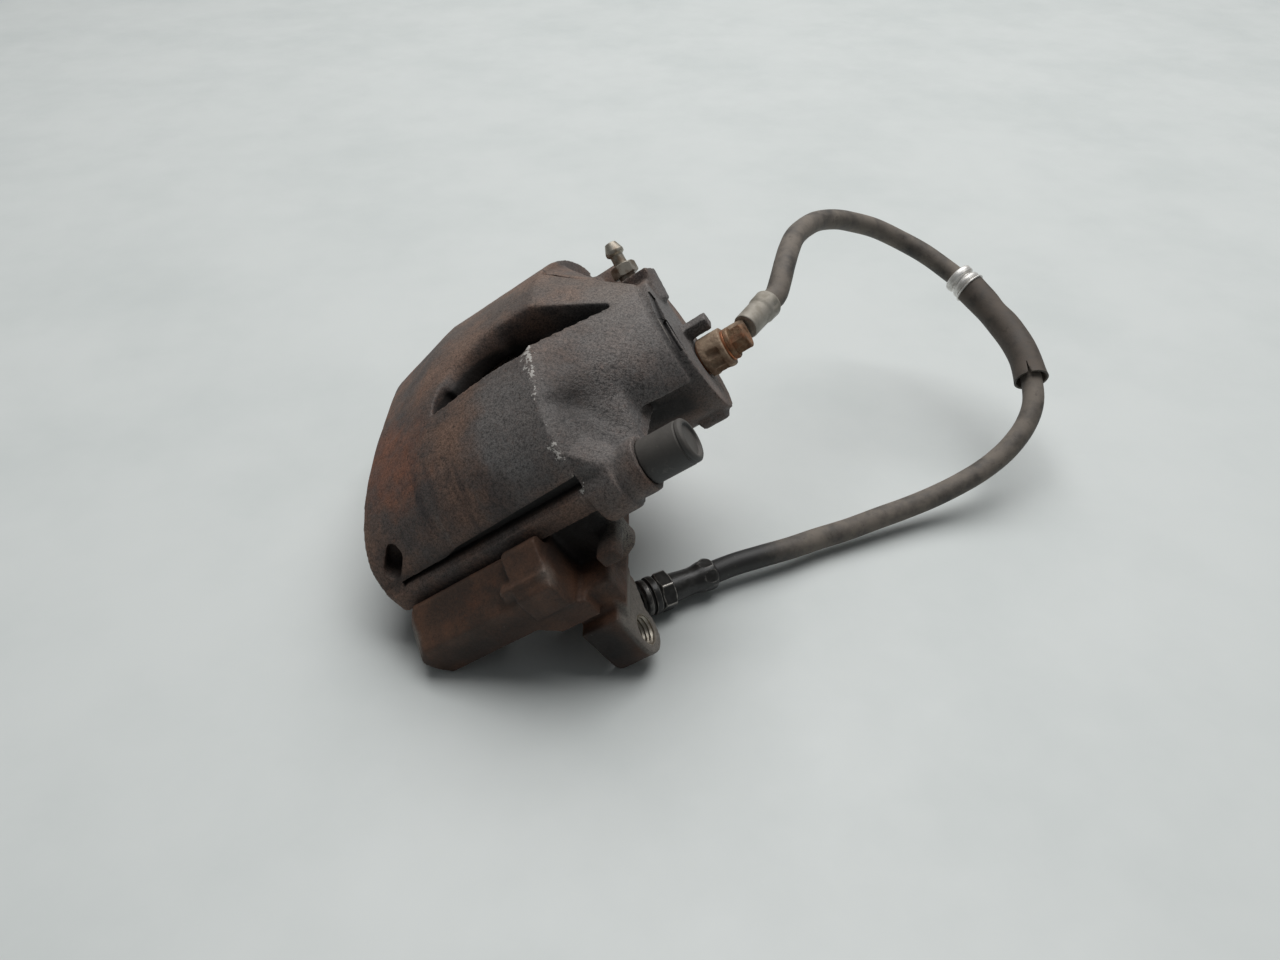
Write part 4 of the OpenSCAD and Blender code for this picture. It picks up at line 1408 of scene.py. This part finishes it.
class CarrierCasting(Casting):
    """The fixed carrier: arms, abutments, guide pin bosses and mounting ears."""

    def __init__(self) -> None:
        """Sets the carrier's zones."""
        patches = [
            Patch(Zone.RUST, (-10, -108, 0), (30, 14, 12), 0.4),
            Patch(Zone.GREY, (41, -98, -56), (3, 18, 18), 2.2),
            Patch(Zone.GREY, (54, -84, -12), (10, 16, 18)),
            Patch(Zone.ROUGH, (54, -84, -12), (14, 18, 20)),
            Patch(Zone.GREY, (32, -108, 0), (8, 8, 8), 0.5),
            Patch(Zone.GREY, (-44, -104, -2), (7, 10, 10), 0.6),
            # The five patches below paint shade into the colour, on the bar's front, in the gap under the
            # housing's ledge and on the ear's side.
            Patch(Zone.PAINTED_SHADE, (10, -98, -1), (60, 6, 8), 0.5),
            Patch(Zone.PAINTED_SHADE, (46, -94, 4), (14, 12, 14), 1.5),
            Patch(Zone.PAINTED_SHADE, (40, -86, -10), (14, 6, 10), 1.5),
            Patch(Zone.PAINTED_SHADE, (26, -112, -46), (14, 5, 20), 1.2),
            Patch(Zone.PAINTED_SHADE, (-10, -113, -18), (44, 5, 9), 0.8),
            Patch(Zone.SOFT, (52, -84, -14), (14, 18, 20)),
            Patch(Zone.SOFT, (52, 84, -14), (14, 18, 20)),
        ]
        super().__init__("carrier_casting", "carrier", Body.CARRIER, CARRIER_IRON, patches)

    def cutters(self) -> list[bpy.types.Object]:
        """The mounting ears' holes."""
        start, radius, length = 8, 7.2, 40
        return [bore_tool(start, side * EAR_Y, EAR_Z, radius, length) for side in BOTH_SIDES]


@dataclass(frozen=True)
class EarThreads:
    """The screw threads in the carrier's two mounting ears; heights are from the back of an ear."""

    ear_back: float = 21.0
    pitch: float = 2.0
    root: float = 7.0
    crest: float = 6.1
    wall: float = 7.7
    low: float = 1.0
    high: float = 18.4
    mouth: float = 1.2
    row: float = 0.25

    def screw(self, angle: float, height: float, radius: float) -> float:
        """The thread's helix, with a bevelled mouth.

        Args:
            angle: Angle round the hole.
            height: Height in the hole, in millimetres.
            radius: Radius of the plain profile there.

        Returns:
            The radius there, with the thread.
        """
        if radius > self.root:
            return radius
        turn = (height / self.pitch - angle / math.tau) % 1.0
        depth = (self.root - self.crest) * (1 - abs(2 * turn - 1))
        bevel = max(0.0, height - (self.high - self.mouth)) / self.mouth
        return self.root - depth * (1 - bevel)

    def build(self) -> bpy.types.Object:
        """Turns both threads.

        Returns:
            The threads as one piece, on the carrier.
        """
        long = self.high - self.low
        rows = round(long / self.row)
        inner = [(self.root, self.low + long * k / rows) for k in range(rows + 1)]
        profile = [*inner, (self.wall, self.high), (self.wall, self.low)]
        pieces = []
        for side in BOTH_SIDES:
            seat = Seat(AXES.point(self.ear_back, side * EAR_Y, EAR_Z), AXES.along)
            pieces.append(lathe("ear_thread", profile, seat, 48, self.screw, ring=True))
        obj = dress(joined("mount_threads", pieces), NIPPLE_STEEL.material())
        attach(obj, Body.CARRIER.value)
        log.info("%s rides on %s", obj.name, Body.CARRIER.value)
        return obj


# Turned fittings


def mark_edges(obj: bpy.types.Object, reach: float, rounds: int = 6) -> bpy.types.Object:
    """Keeps a piece's outer edges on its mesh, for rubbed finishes.

    Args:
        obj: The piece.
        reach: How far an edge stands out where it counts in full, in millimetres.
        rounds: How far round each vertex to look, in rounds of smoothing.

    Returns:
        The same piece.
    """
    surface = Surface(obj.data)
    surface.store(Zone.WEAR.value, surface.relief(rounds) / reach)
    return obj


@dataclass
class GuidePins:
    """What slides on the guide pins: the plastic cap and the rubber bushes in the housing's ears."""

    ear_x: float = 59.0
    near_end: float = 84.0
    far_end: float = 75.0
    cap_r: float = 9.8
    cap_l: float = 21.0
    cap_wall: float = 2.0
    cap_end: float = 3.0
    collar: float = 4.0
    bore_r: float = 5.6

    def cap(self) -> bpy.types.Object:
        """The cap on the near ear, with its parting groove and dished end.

        Returns:
            The cap.
        """
        r, l, collar = self.cap_r, self.cap_l, self.collar
        inner = BUSH_R - self.cap_wall
        profile = [(inner, -collar), (BUSH_R, -collar), (BUSH_R, 0), (r, 0), (r, l - 3.4),
                   (r - 0.45, l - 3.1), (r - 0.45, l - 2.7), (r - 0.1, l - 2.4), (r - 0.2, l - 0.9),
                   (r - 1.3, l), (r - 2.6, l), (r - 3.0, l - 1.3), (0, l - 1.1)]
        inside = [(0, l - self.cap_end), (inner, l - self.cap_end), (inner, -collar + 0.01)]
        outer = soft_profile(profile, 0.5)
        seat = Seat(AXES.point(self.near_end, -PIN_Y, PIN_Z), AXES.along)
        obj = lathe("guide_pin_cap", [*outer, *inside], seat, 80)
        return fit(dress(obj, CAP_PLASTIC.material()), Body.HOUSING, "pin_caps")

    def bushes(self) -> bpy.types.Object:
        """The bushes, each with a rounded lip at its outer end.

        Returns:
            Both bushes as one piece.
        """
        pieces = []
        r, hole = BUSH_R - 0.05, self.bore_r
        for side, end in zip(BOTH_SIDES, (self.near_end - self.collar, self.far_end)):
            long = end - self.ear_x
            profile = [(hole, 0.1), (r, 0.1), (r, long - 0.1), (hole + 1.6, long - 0.1), (hole, long - 1.2)]
            seat = Seat(AXES.point(self.ear_x, side * PIN_Y, PIN_Z), AXES.along)
            pieces.append(lathe("bush", soft_profile(profile, 0.6), seat, 48, ring=True))
        obj = joined("rubber_guide_bushes", pieces)
        return fit(dress(obj, BOOT_RUBBER.material()), Body.HOUSING, "guide_bushes")


@dataclass
class CylinderSeals:
    """The rubber pieces in the cylinder: the square seal and the folded dust boot."""

    mouth: float = 36.0
    bore_r: float = 27.0
    gap: float = 0.05
    boot_r: float = 31.4
    seat_l: float = 3.9
    seal_x: float = 43.2
    seal_w: float = 3.6
    seal_r: float = 29.9

    def boot(self) -> bpy.types.Object:
        """The dust boot with its fold.

        Returns:
            The boot.
        """
        b, s = self.bore_r + self.gap, self.boot_r
        profile = [(b, -2.0), (b + 1.6, -2.6), (b + 3.0, -1.2), (s, -1.2), (s, self.seat_l),
                   (s - 1.6, self.seat_l), (s - 1.6, 0.4), (b + 1.8, 0.4), (b, -0.6)]
        seat = Seat(AXES.point(self.mouth, 0, 0), AXES.along)
        obj = lathe("folded_dust_boot", soft_profile(profile, 0.5), seat, 96, ring=True)
        return fit(dress(obj, BOOT_RUBBER.material()), Body.HOUSING, "dust_boot")

    def seal(self) -> bpy.types.Object:
        """The square-section piston seal.

        Returns:
            The seal.
        """
        b = self.bore_r + self.gap
        profile = [(b, 0), (self.seal_r, 0), (self.seal_r, self.seal_w), (b, self.seal_w)]
        seat = Seat(AXES.point(self.seal_x, 0, 0), AXES.along)
        obj = lathe("square_piston_seal", soft_profile(profile, 0.3), seat, 96, ring=True)
        return fit(dress(obj, BOOT_RUBBER.material()), Body.HOUSING, "piston_seal")


@dataclass
class BleedScrew:
    """The bleed screw in its boss on the cylinder."""

    across_flats: float = 11.0
    hex_low: float = 2.0
    hex_high: float = 7.5
    tip: float = 19.0
    tail: float = -12.0
    thread_r: float = 4.0

    def build(self) -> bpy.types.Object:
        """Turns the screw: thread, hexagon, neck and barbed nipple with its bore.

        Returns:
            The screw.
        """
        turn = joint("bleed_screw_turn")
        seat = Seat(Vector(turn["pos_m"]), Vector(turn["axis"]).normalized())
        corner = self.across_flats / math.sqrt(3)
        flats = hexagon(self.across_flats)
        low, high, tip, tail = self.hex_low, self.hex_high, self.tip, self.tail
        profile = [(0, tail), (self.thread_r, tail), (self.thread_r, low), (corner - 0.7, low),
                   (corner, low + 0.5), (corner, high - 0.6), (corner - 1.0, high), (3.2, high),
                   (3.1, tip - 6.6), (4.4, tip - 5.6), (4.5, tip - 4.3), (2.7, tip), (1.4, tip),
                   (1.2, tip - 0.6), (1.2, tip - 5), (0, tip - 5)]

        def flatten(angle: float, height: float, radius: float) -> float:
            """Cuts the flats of the hexagon."""
            return min(radius, flats(angle)) if low - 0.1 <= height <= high + 0.1 else radius
        obj = lathe("bleed_nipple", soft_profile(profile, 0.35), seat, 96, flatten)
        return fit(dress(obj, NIPPLE_STEEL.material()), Body.BLEED_SCREW, "bleed_screw")


@dataclass
class HosePort:
    """The banjo bolt and banjo on the back of the cylinder."""

    y: float = -4.0
    z: float = -9.0
    flange_x: float = 120.4
    bolt_tail: float = -23.4
    across_flats: float = 12.0
    flange_r: float = 7.5
    head_l: float = 9.5
    shank_r: float = 4.7
    rust_depth: float = 0.22
    banjo_voxel: float = 0.4
    banjo_rounds: int = 6
    banjo_ripple: float = 0.12
    banjo_waves: float = 700.0

    def bolt(self) -> bpy.types.Object:
        """The banjo bolt with its rusty, rounded hexagon.

        Returns:
            The bolt.
        """
        corner = self.across_flats / math.sqrt(3)
        flats = hexagon(self.across_flats)
        top, flange, tail = self.head_l, self.flange_r, self.bolt_tail
        profile = [(0, tail), (self.shank_r, tail), (self.shank_r, 0), (flange, 0), (flange, 1.6),
                   (corner + 0.2, 2.3), (corner, 2.6), (corner, top - 1.2), (corner - 1.5, top),
                   (3.9, top), (3.4, top - 0.5), (0, top - 0.6)]

        def rusted_flats(angle: float, height: float, radius: float) -> float:
            """Cuts the flats and eats the surface with rust.

            Args:
                angle: Angle round the bolt.
                height: Height above its flange, in millimetres.
                radius: Radius of the plain profile there.

            Returns:
                The rusted radius there.
            """
            spot = Vector((math.cos(angle) * 2.2, math.sin(angle) * 2.2, height * 0.45))
            eaten = self.rust_depth * noise.noise(spot)
            flat = min(radius, flats(angle) - 0.1) if height > 2.4 else radius
            return flat + (eaten if height > 0.2 else 0.0)
        seat = Seat(AXES.point(self.flange_x, self.y, self.z), AXES.along)
        obj = lathe("rusty_banjo_bolt", soft_profile(profile, 0.5), seat, 96, rusted_flats)
        return fit(dress(obj, BOLT_STEEL.material()), Body.HOUSING, "banjo_bolt")

    def banjo(self) -> bpy.types.Object:
        """The forged banjo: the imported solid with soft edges.

        Returns:
            The banjo.
        """
        packed = frame["nodes"]["banjo_fitting"].data.copy()
        solid = voxel_skin(linked(bpy.data.objects.new("forged_banjo", packed)), self.banjo_voxel)
        surface = Surface(solid.data)
        surface.smooth(self.banjo_rounds)
        surface.write()
        surface.ripple(self.banjo_ripple, [self.banjo_waves])
        set_shading(solid)
        return fit(dress(solid, BANJO_STEEL.material()), Body.HOUSING, "banjo_fitting")


# Hose


# Points along the hose's middle in the row frame, in millimetres, from the banjo's collar to the far crimp
ROUTE_MM: list[Point] = [
    (97.8, 26.4, 109.5), (101.8, 32.0, 110.6),
    (105, 42, 114), (108, 54, 116), (112, 69, 117), (117, 84, 117), (125, 100, 115),
    (134, 114, 112), (146, 125, 108), (159, 134, 102), (173, 139, 96), (188, 139, 89), (202, 134, 83),
    (214, 126, 77), (226, 114, 71), (235, 100, 65), (243, 84, 59), (247, 68, 54), (248, 53, 48),
    (246, 39, 42), (240, 28, 35), (230, 18, 28), (218, 10, 22), (204, 3, 17), (188, -4, 13),
    (172, -11, 11), (156, -18, 10), (140, -25, 9), (124, -32, 9), (109, -39.5, 9.5), (95, -45.5, 10),
    (82, -51, 10.2), (70.5, -57, 10.2),
]


@dataclass
class BrakeHose:
    """The rubber hose with its crimped ends, support ring and sleeve."""

    diameter: float = 11.0
    hose_step: float = 2.5
    sleeve_step: float = 1.5
    unevenness: float = 0.12
    wiped_l: float = 42.0
    ferrule_l: float = 22.0
    ferrule_r: float = 7.3
    dimples: int = 6
    dimple_depth: float = 1.0
    ring_at: int = 14
    sleeve_to: int = 18
    sleeve_r: float = 8.6
    slit_l: float = 7.0
    slit_lean: float = 0.5
    end_ferrule_l: float = 23.5
    end_ferrule_r: float = 7.7
    end_fitting_l: float = 15.7
    end_fitting_r: float = 9.0
    end_hex_h: float = 7.0
    route: list[Vector] = field(default_factory=lambda: [Vector(p) * MM for p in ROUTE_MM])

    def way(self, i: int) -> Vector:
        """The hose's direction at a route point."""
        return (self.route[min(i + 1, len(self.route) - 1)] - self.route[max(i - 1, 0)]).normalized()

    def far_seat(self) -> Seat:
        """Where the hose's far end passes into its crimp."""
        return Seat(self.route[-1], self.way(len(self.route) - 1))

    def hose(self, on_it: Sequence[bpy.types.Object]) -> bpy.types.Object:
        """The hose itself.

        Args:
            on_it: Not used.

        Returns:
            The hose.
        """
        line = spline(self.route, self.hose_step * MM)
        r = self.diameter / 2

        def worn(far: float, angle: float) -> float:
            """The hose's radius, with slight unevenness."""
            return r + self.unevenness * noise.noise(Vector((far * 0.05, math.cos(angle), math.sin(angle))))
        obj = sweep("rubber_hose", line, worn, 28)
        finish = Rubber("hose_rubber", HOSE_RUBBER_BLACK, HOSE_RUBBER_DUST,
                        clean_end=tuple(self.route[-1]), clean_reach=self.wiped_l * MM)
        fit(dress(obj, finish.material()), Body.HOUSING, "brake_hose")
        return obj

    def ferrule(self) -> bpy.types.Object:
        """The crimped collar on the banjo's neck, dimpled where the tool pressed it.

        Returns:
            The collar.
        """
        l, r = self.ferrule_l, self.ferrule_r
        seat = Seat(self.route[0] - l * MM * self.way(0), self.way(0))
        profile = [(0, 0), (r - 1.3, 0), (r - 1.0, 0.5), (r - 0.9, l - 9), (r - 0.3, l - 7.4), (r, l - 5.4),
                   (r, l - 1.6), (r - 0.7, l - 0.2), (self.diameter / 2 + 0.1, l), (0, l)]

        def dimpled(angle: float, height: float, radius: float) -> float:
            """Presses dimples into the collar's band.

            Args:
                angle: Angle round the collar.
                height: Height from its inner end, in millimetres.
                radius: Radius of the plain profile there.

            Returns:
                The dimpled radius there.
            """
            turn = (angle * self.dimples / math.tau) % 1.0 - 0.5
            press = math.exp(-(turn / 0.2) ** 2 - ((height - (l - 4.2)) / 1.7) ** 2)
            return radius - (self.dimple_depth * press if radius > r - 1.5 else 0.0)
        obj = lathe("crimped_collar", soft_profile(profile, 0.5), seat, 96, dimpled)
        return fit(dress(obj, ZINC_STEEL.material()), Body.HOUSING, "hose_ferrule")

    def support_ring(self) -> bpy.types.Object:
        """The zinc ring: two bands, the groove between them and a thin lip.

        Returns:
            The ring.
        """
        inner, r = self.diameter / 2 + 0.1, self.diameter / 2 + 3.2
        profile = [(inner, -10.8), (r - 0.9, -10.8), (r - 0.2, -10.0), (r, -8.4), (r - 0.2, -6.8),
                   (r - 1.7, -6.2), (r - 1.7, -5.0), (r - 0.2, -4.4), (r + 0.1, -3.0), (r - 0.1, -1.6),
                   (r - 0.9, -1.1), (r + 0.8, -0.6), (r + 0.8, 0.2), (inner, 0.2)]
        seat = Seat(self.route[self.ring_at], self.way(self.ring_at))

        def dented(angle: float, height: float, radius: float) -> float:
            """Slight dents from clamping."""
            return radius + 0.14 * noise.noise(Vector((math.cos(angle) * 3, math.sin(angle) * 3, height)))
        obj = lathe("zinc_support_ring", soft_profile(profile, 0.35), seat, 72, dented, ring=True)
        return fit(dress(obj, RING_STEEL.material()), Body.HOUSING, "hose_support_ring")

    def sleeve(self) -> bpy.types.Object:
        """The rubber sleeve: tight at the ring, a soft kink below it, and an open, slit lower end.

        Returns:
            The sleeve.
        """
        line = spline(self.route[self.ring_at:self.sleeve_to + 1], self.sleeve_step * MM)
        long = float(distances(line)[-1]) / MM

        def outer(far: float, angle: float) -> float:
            """The sleeve's outside: a kink, a flare at each end and slight unevenness.

            Args:
                far: Distance along the sleeve, in millimetres.
                angle: Angle round it.

            Returns:
                The outer radius there, in millimetres.
            """
            kink = math.exp(-((far - 0.3 * long) / 6.0) ** 2) * (0.5 + 0.5 * math.cos(angle - 2.2))
            flare = 0.35 * math.exp(-far / 5.0) + 0.8 * math.exp(-(long - far) / 5.0)
            uneven = 0.15 * noise.noise(Vector((far * 0.08, math.cos(angle), math.sin(angle))))
            return self.sleeve_r - 0.9 * kink + flare - 0.3 + uneven

        def inner(far: float, angle: float) -> float:
            """The sleeve's bore, opening out at the lower end."""
            return self.diameter / 2 + 0.35 + 2.1 * math.exp(-(long - far) / 9.0)
        obj = sweep("rubber_hose_sleeve", line, outer, 48, inner)
        cut(obj, self.slit_tool(line[-1], (line[-1] - line[-4]).normalized()))
        return fit(dress(obj, SLEEVE_RUBBER.material()), Body.HOUSING, "hose_sleeve")

    def slit_tool(self, end: Vector, way: Vector) -> bpy.types.Object:
        """A thin wedge that slits the sleeve's lower end on its upper side.

        Args:
            end: Middle of the sleeve's end.
            way: The sleeve's direction there.

        Returns:
            The cutter.
        """
        side = way.cross(Vector((0, 0, 1))).normalized()
        out = (side.cross(way) + self.slit_lean * side).normalized()
        across = way.cross(out)
        wedge = ((-0.8, 1.0), (0.8, 1.0), (0.15, -self.slit_l), (-0.15, -self.slit_l))
        inner, outer = ([end + MM * (far * out + wide * across + run * way) for wide, run in wedge]
                        for far in (self.diameter / 2, self.sleeve_r + 3))
        return prism(inner, outer)

    def end_ferrule(self) -> bpy.types.Object:
        """The black crimp at the far end: a pressed flare, a waist and a body that widens to the hexagon.

        Returns:
            The crimp.
        """
        l, r = self.end_ferrule_l, self.end_ferrule_r
        profile = [(0, -0.5), (5.6, -0.5), (r - 1.2, 0), (r - 0.2, 1.0), (r, 3.5), (r - 0.3, 6.4),
                   (r - 1.0, 9.6), (r - 1.3, 12), (r - 1.1, 16), (r - 0.6, l - 1), (r - 0.6, l), (0, l)]
        flats = hexagon(1.84 * r)

        def pressed(angle: float, height: float, radius: float) -> float:
            """Presses six flats into the flare, with a raised ridge between two of them.

            Args:
                angle: Angle round the crimp.
                height: Height from the hose's end, in millimetres.
                radius: Radius of the plain profile there.

            Returns:
                The pressed radius there.
            """
            share = math.exp(-((height - 4.0) / 3.2) ** 4) if radius > 5.8 else 0.0
            ridge = 0.5 * math.exp(-((angle - 2.6 + 0.09 * height) / 0.10) ** 2)
            return radius + share * (min(0.0, flats(angle + 0.4) - radius) + ridge)
        crimp = lathe("black_end_crimp", soft_profile(profile, 0.7), self.far_seat(), 120, pressed)
        obj = mark_edges(crimp, 0.12)
        return fit(dress(obj, END_COAT.material()), Body.HOUSING, "end_ferrule")

    def end_fitting(self) -> bpy.types.Object:
        """The black fitting: hexagon, ring, groove and open mouth.

        Returns:
            The fitting.
        """
        l, r, h = self.end_fitting_l, self.end_fitting_r, self.end_hex_h
        seat = self.far_seat().moved(self.end_ferrule_l)
        corner = r + 0.8
        flats = hexagon(corner * math.sqrt(3))
        profile = [(0, 0), (r - 0.9, 0), (corner, 0.9), (corner, h - 0.9), (r - 0.9, h), (r - 1.1, h + 0.7),
                   (r + 0.2, h + 0.9), (r + 0.3, h + 2.4), (r + 0.2, h + 3.9), (r - 1.2, h + 4.2),
                   (r - 1.2, h + 5.0), (r - 0.1, h + 5.4), (r, l - 1.2), (r - 0.9, l), (5.2, l),
                   (5.0, l - 0.5), (5.0, l - 12.8), (0, l - 12.8)]

        def flatten(angle: float, height: float, radius: float) -> float:
            """Cuts the hexagon's flats."""
            return min(radius, flats(angle + 0.5)) if height < h and radius > 5.3 else radius
        fitting = lathe("black_end_fitting", soft_profile(profile, 0.35), seat, 120, flatten)
        obj = mark_edges(fitting, 0.10)
        return fit(dress(obj, END_COAT.material()), Body.HOUSING, "end_fitting")

    def build(self, banjo: bpy.types.Object) -> bpy.types.Object:
        """Makes the hose and everything on it.

        Args:
            banjo: The fitting that the hose starts from.

        Returns:
            The hose.
        """
        makers = (self.ferrule, self.support_ring, self.sleeve, self.end_ferrule, self.end_fitting)
        return self.hose([banjo, *(make() for make in makers)])


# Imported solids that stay


@dataclass(frozen=True)
class KeptSolid:
    """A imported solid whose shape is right: it gets softened edges and a finish."""

    node: str
    finish: Steel | FrictionLining
    edge: float = 0.4
    weld_gap: float = 0.01
    crease: float = 40.0

    def dress(self) -> None:
        """Softens the edges and sets the finish."""
        obj = frame["nodes"][self.node]
        weld = obj.modifiers.new("weld", "WELD")
        weld.merge_threshold = self.weld_gap * MM
        bevel = obj.modifiers.new("soft_edges", "BEVEL")
        bevel.width, bevel.segments, bevel.limit_method = self.edge * MM, 2, "ANGLE"
        bevel.angle_limit = math.radians(self.crease)
        material = self.finish.material()
        for slot in obj.material_slots:
            slot.material = material
        log.info("%s keeps its packed solid", self.node)


KEPT_SOLIDS = [
    KeptSolid("guide_pins", PIN_STEEL),
    KeptSolid("piston", PISTON_STEEL, 0.8),
    KeptSolid("inner_pad_plate", PLATE_STEEL),
    KeptSolid("inner_pad_lining", LINING, 0.6),
    KeptSolid("outer_pad_plate", PLATE_STEEL),
    KeptSolid("outer_pad_lining", LINING, 0.6),
    KeptSolid("sealing_washers", COPPER, 0.2),
]


# Studio


@dataclass(frozen=True)
class Studio:
    """Camera, light and floor."""

    camera_at: Point = (35.84 * MM, -386.18 * MM, 333.73 * MM)
    camera_pitch: float = 51.0
    lens: float = 27.03
    sensor: float = 36.0
    lamp_at: Point = (0.3, 1.1, 2.5)
    lamp_target: Point = (0.06, 0.0, 0.0)
    lamp_size: float = 2.7
    lamp_power: float = 83.0
    sky: Colour = (0.93, 0.97, 1.0, 1.0)
    sky_strength: float = 0.12
    floor_half: float = 4.0

    def build(self) -> None:
        """Sets the camera, the lamp, the light from all round and the floor."""
        self.camera()
        self.lamp()
        self.world()
        self.floor()
        bpy.context.scene.view_settings.view_transform = "Standard"

    def camera(self) -> None:
        """The camera at the photograph's viewing angle."""
        data = bpy.data.cameras.new("camera")
        data.lens, data.sensor_width = self.lens, self.sensor
        data.clip_start, data.clip_end = 0.01, 50.0
        obj = linked(bpy.data.objects.new("camera", data))
        obj.location = self.camera_at
        obj.rotation_euler = (math.radians(self.camera_pitch), 0, 0)
        bpy.context.scene.camera = obj

    def lamp(self) -> None:
        """A soft square lamp overhead that faces the part."""
        data = bpy.data.lights.new("overhead", "AREA")
        data.size, data.energy = self.lamp_size, self.lamp_power
        obj = linked(bpy.data.objects.new("overhead", data))
        obj.location = self.lamp_at
        way = Vector(self.lamp_target) - Vector(self.lamp_at)
        obj.rotation_euler = way.to_track_quat("-Z", "Y").to_euler()

    def world(self) -> None:
        """Even light from all round."""
        world = bpy.data.worlds.new("studio")
        world.use_nodes = True
        sky = world.node_tree.nodes["Background"]
        sky.inputs["Color"].default_value = self.sky
        sky.inputs["Strength"].default_value = self.sky_strength
        bpy.context.scene.world = world

    def floor(self) -> None:
        """The pale floor that the part stands on."""
        h = self.floor_half
        corners = [(-h, -h, 0), (h, -h, 0), (h, h, 0), (-h, h, 0)]
        obj = mesh_object("bench_top", corners, [(0, 1, 2, 3)])
        dress(obj, FLOOR.material())


def main() -> None:
    """Builds the studio, the hose, the castings and the fittings in order."""
    logging.basicConfig(level=logging.INFO, format="%(name)s: %(message)s")
    Studio().build()
    port = HosePort()
    BrakeHose().build(port.banjo())
    port.bolt()
    housing = HousingCasting()
    housing.dress(housing.build())
    carrier = CarrierCasting()
    carrier.dress(carrier.build())
    EarThreads().build()
    pins = GuidePins()
    pins.cap()
    pins.bushes()
    seals = CylinderSeals()
    seals.boot()
    seals.seal()
    BleedScrew().build()
    for kept in KEPT_SOLIDS:
        kept.dress()


if __name__ == "__main__":
    main()
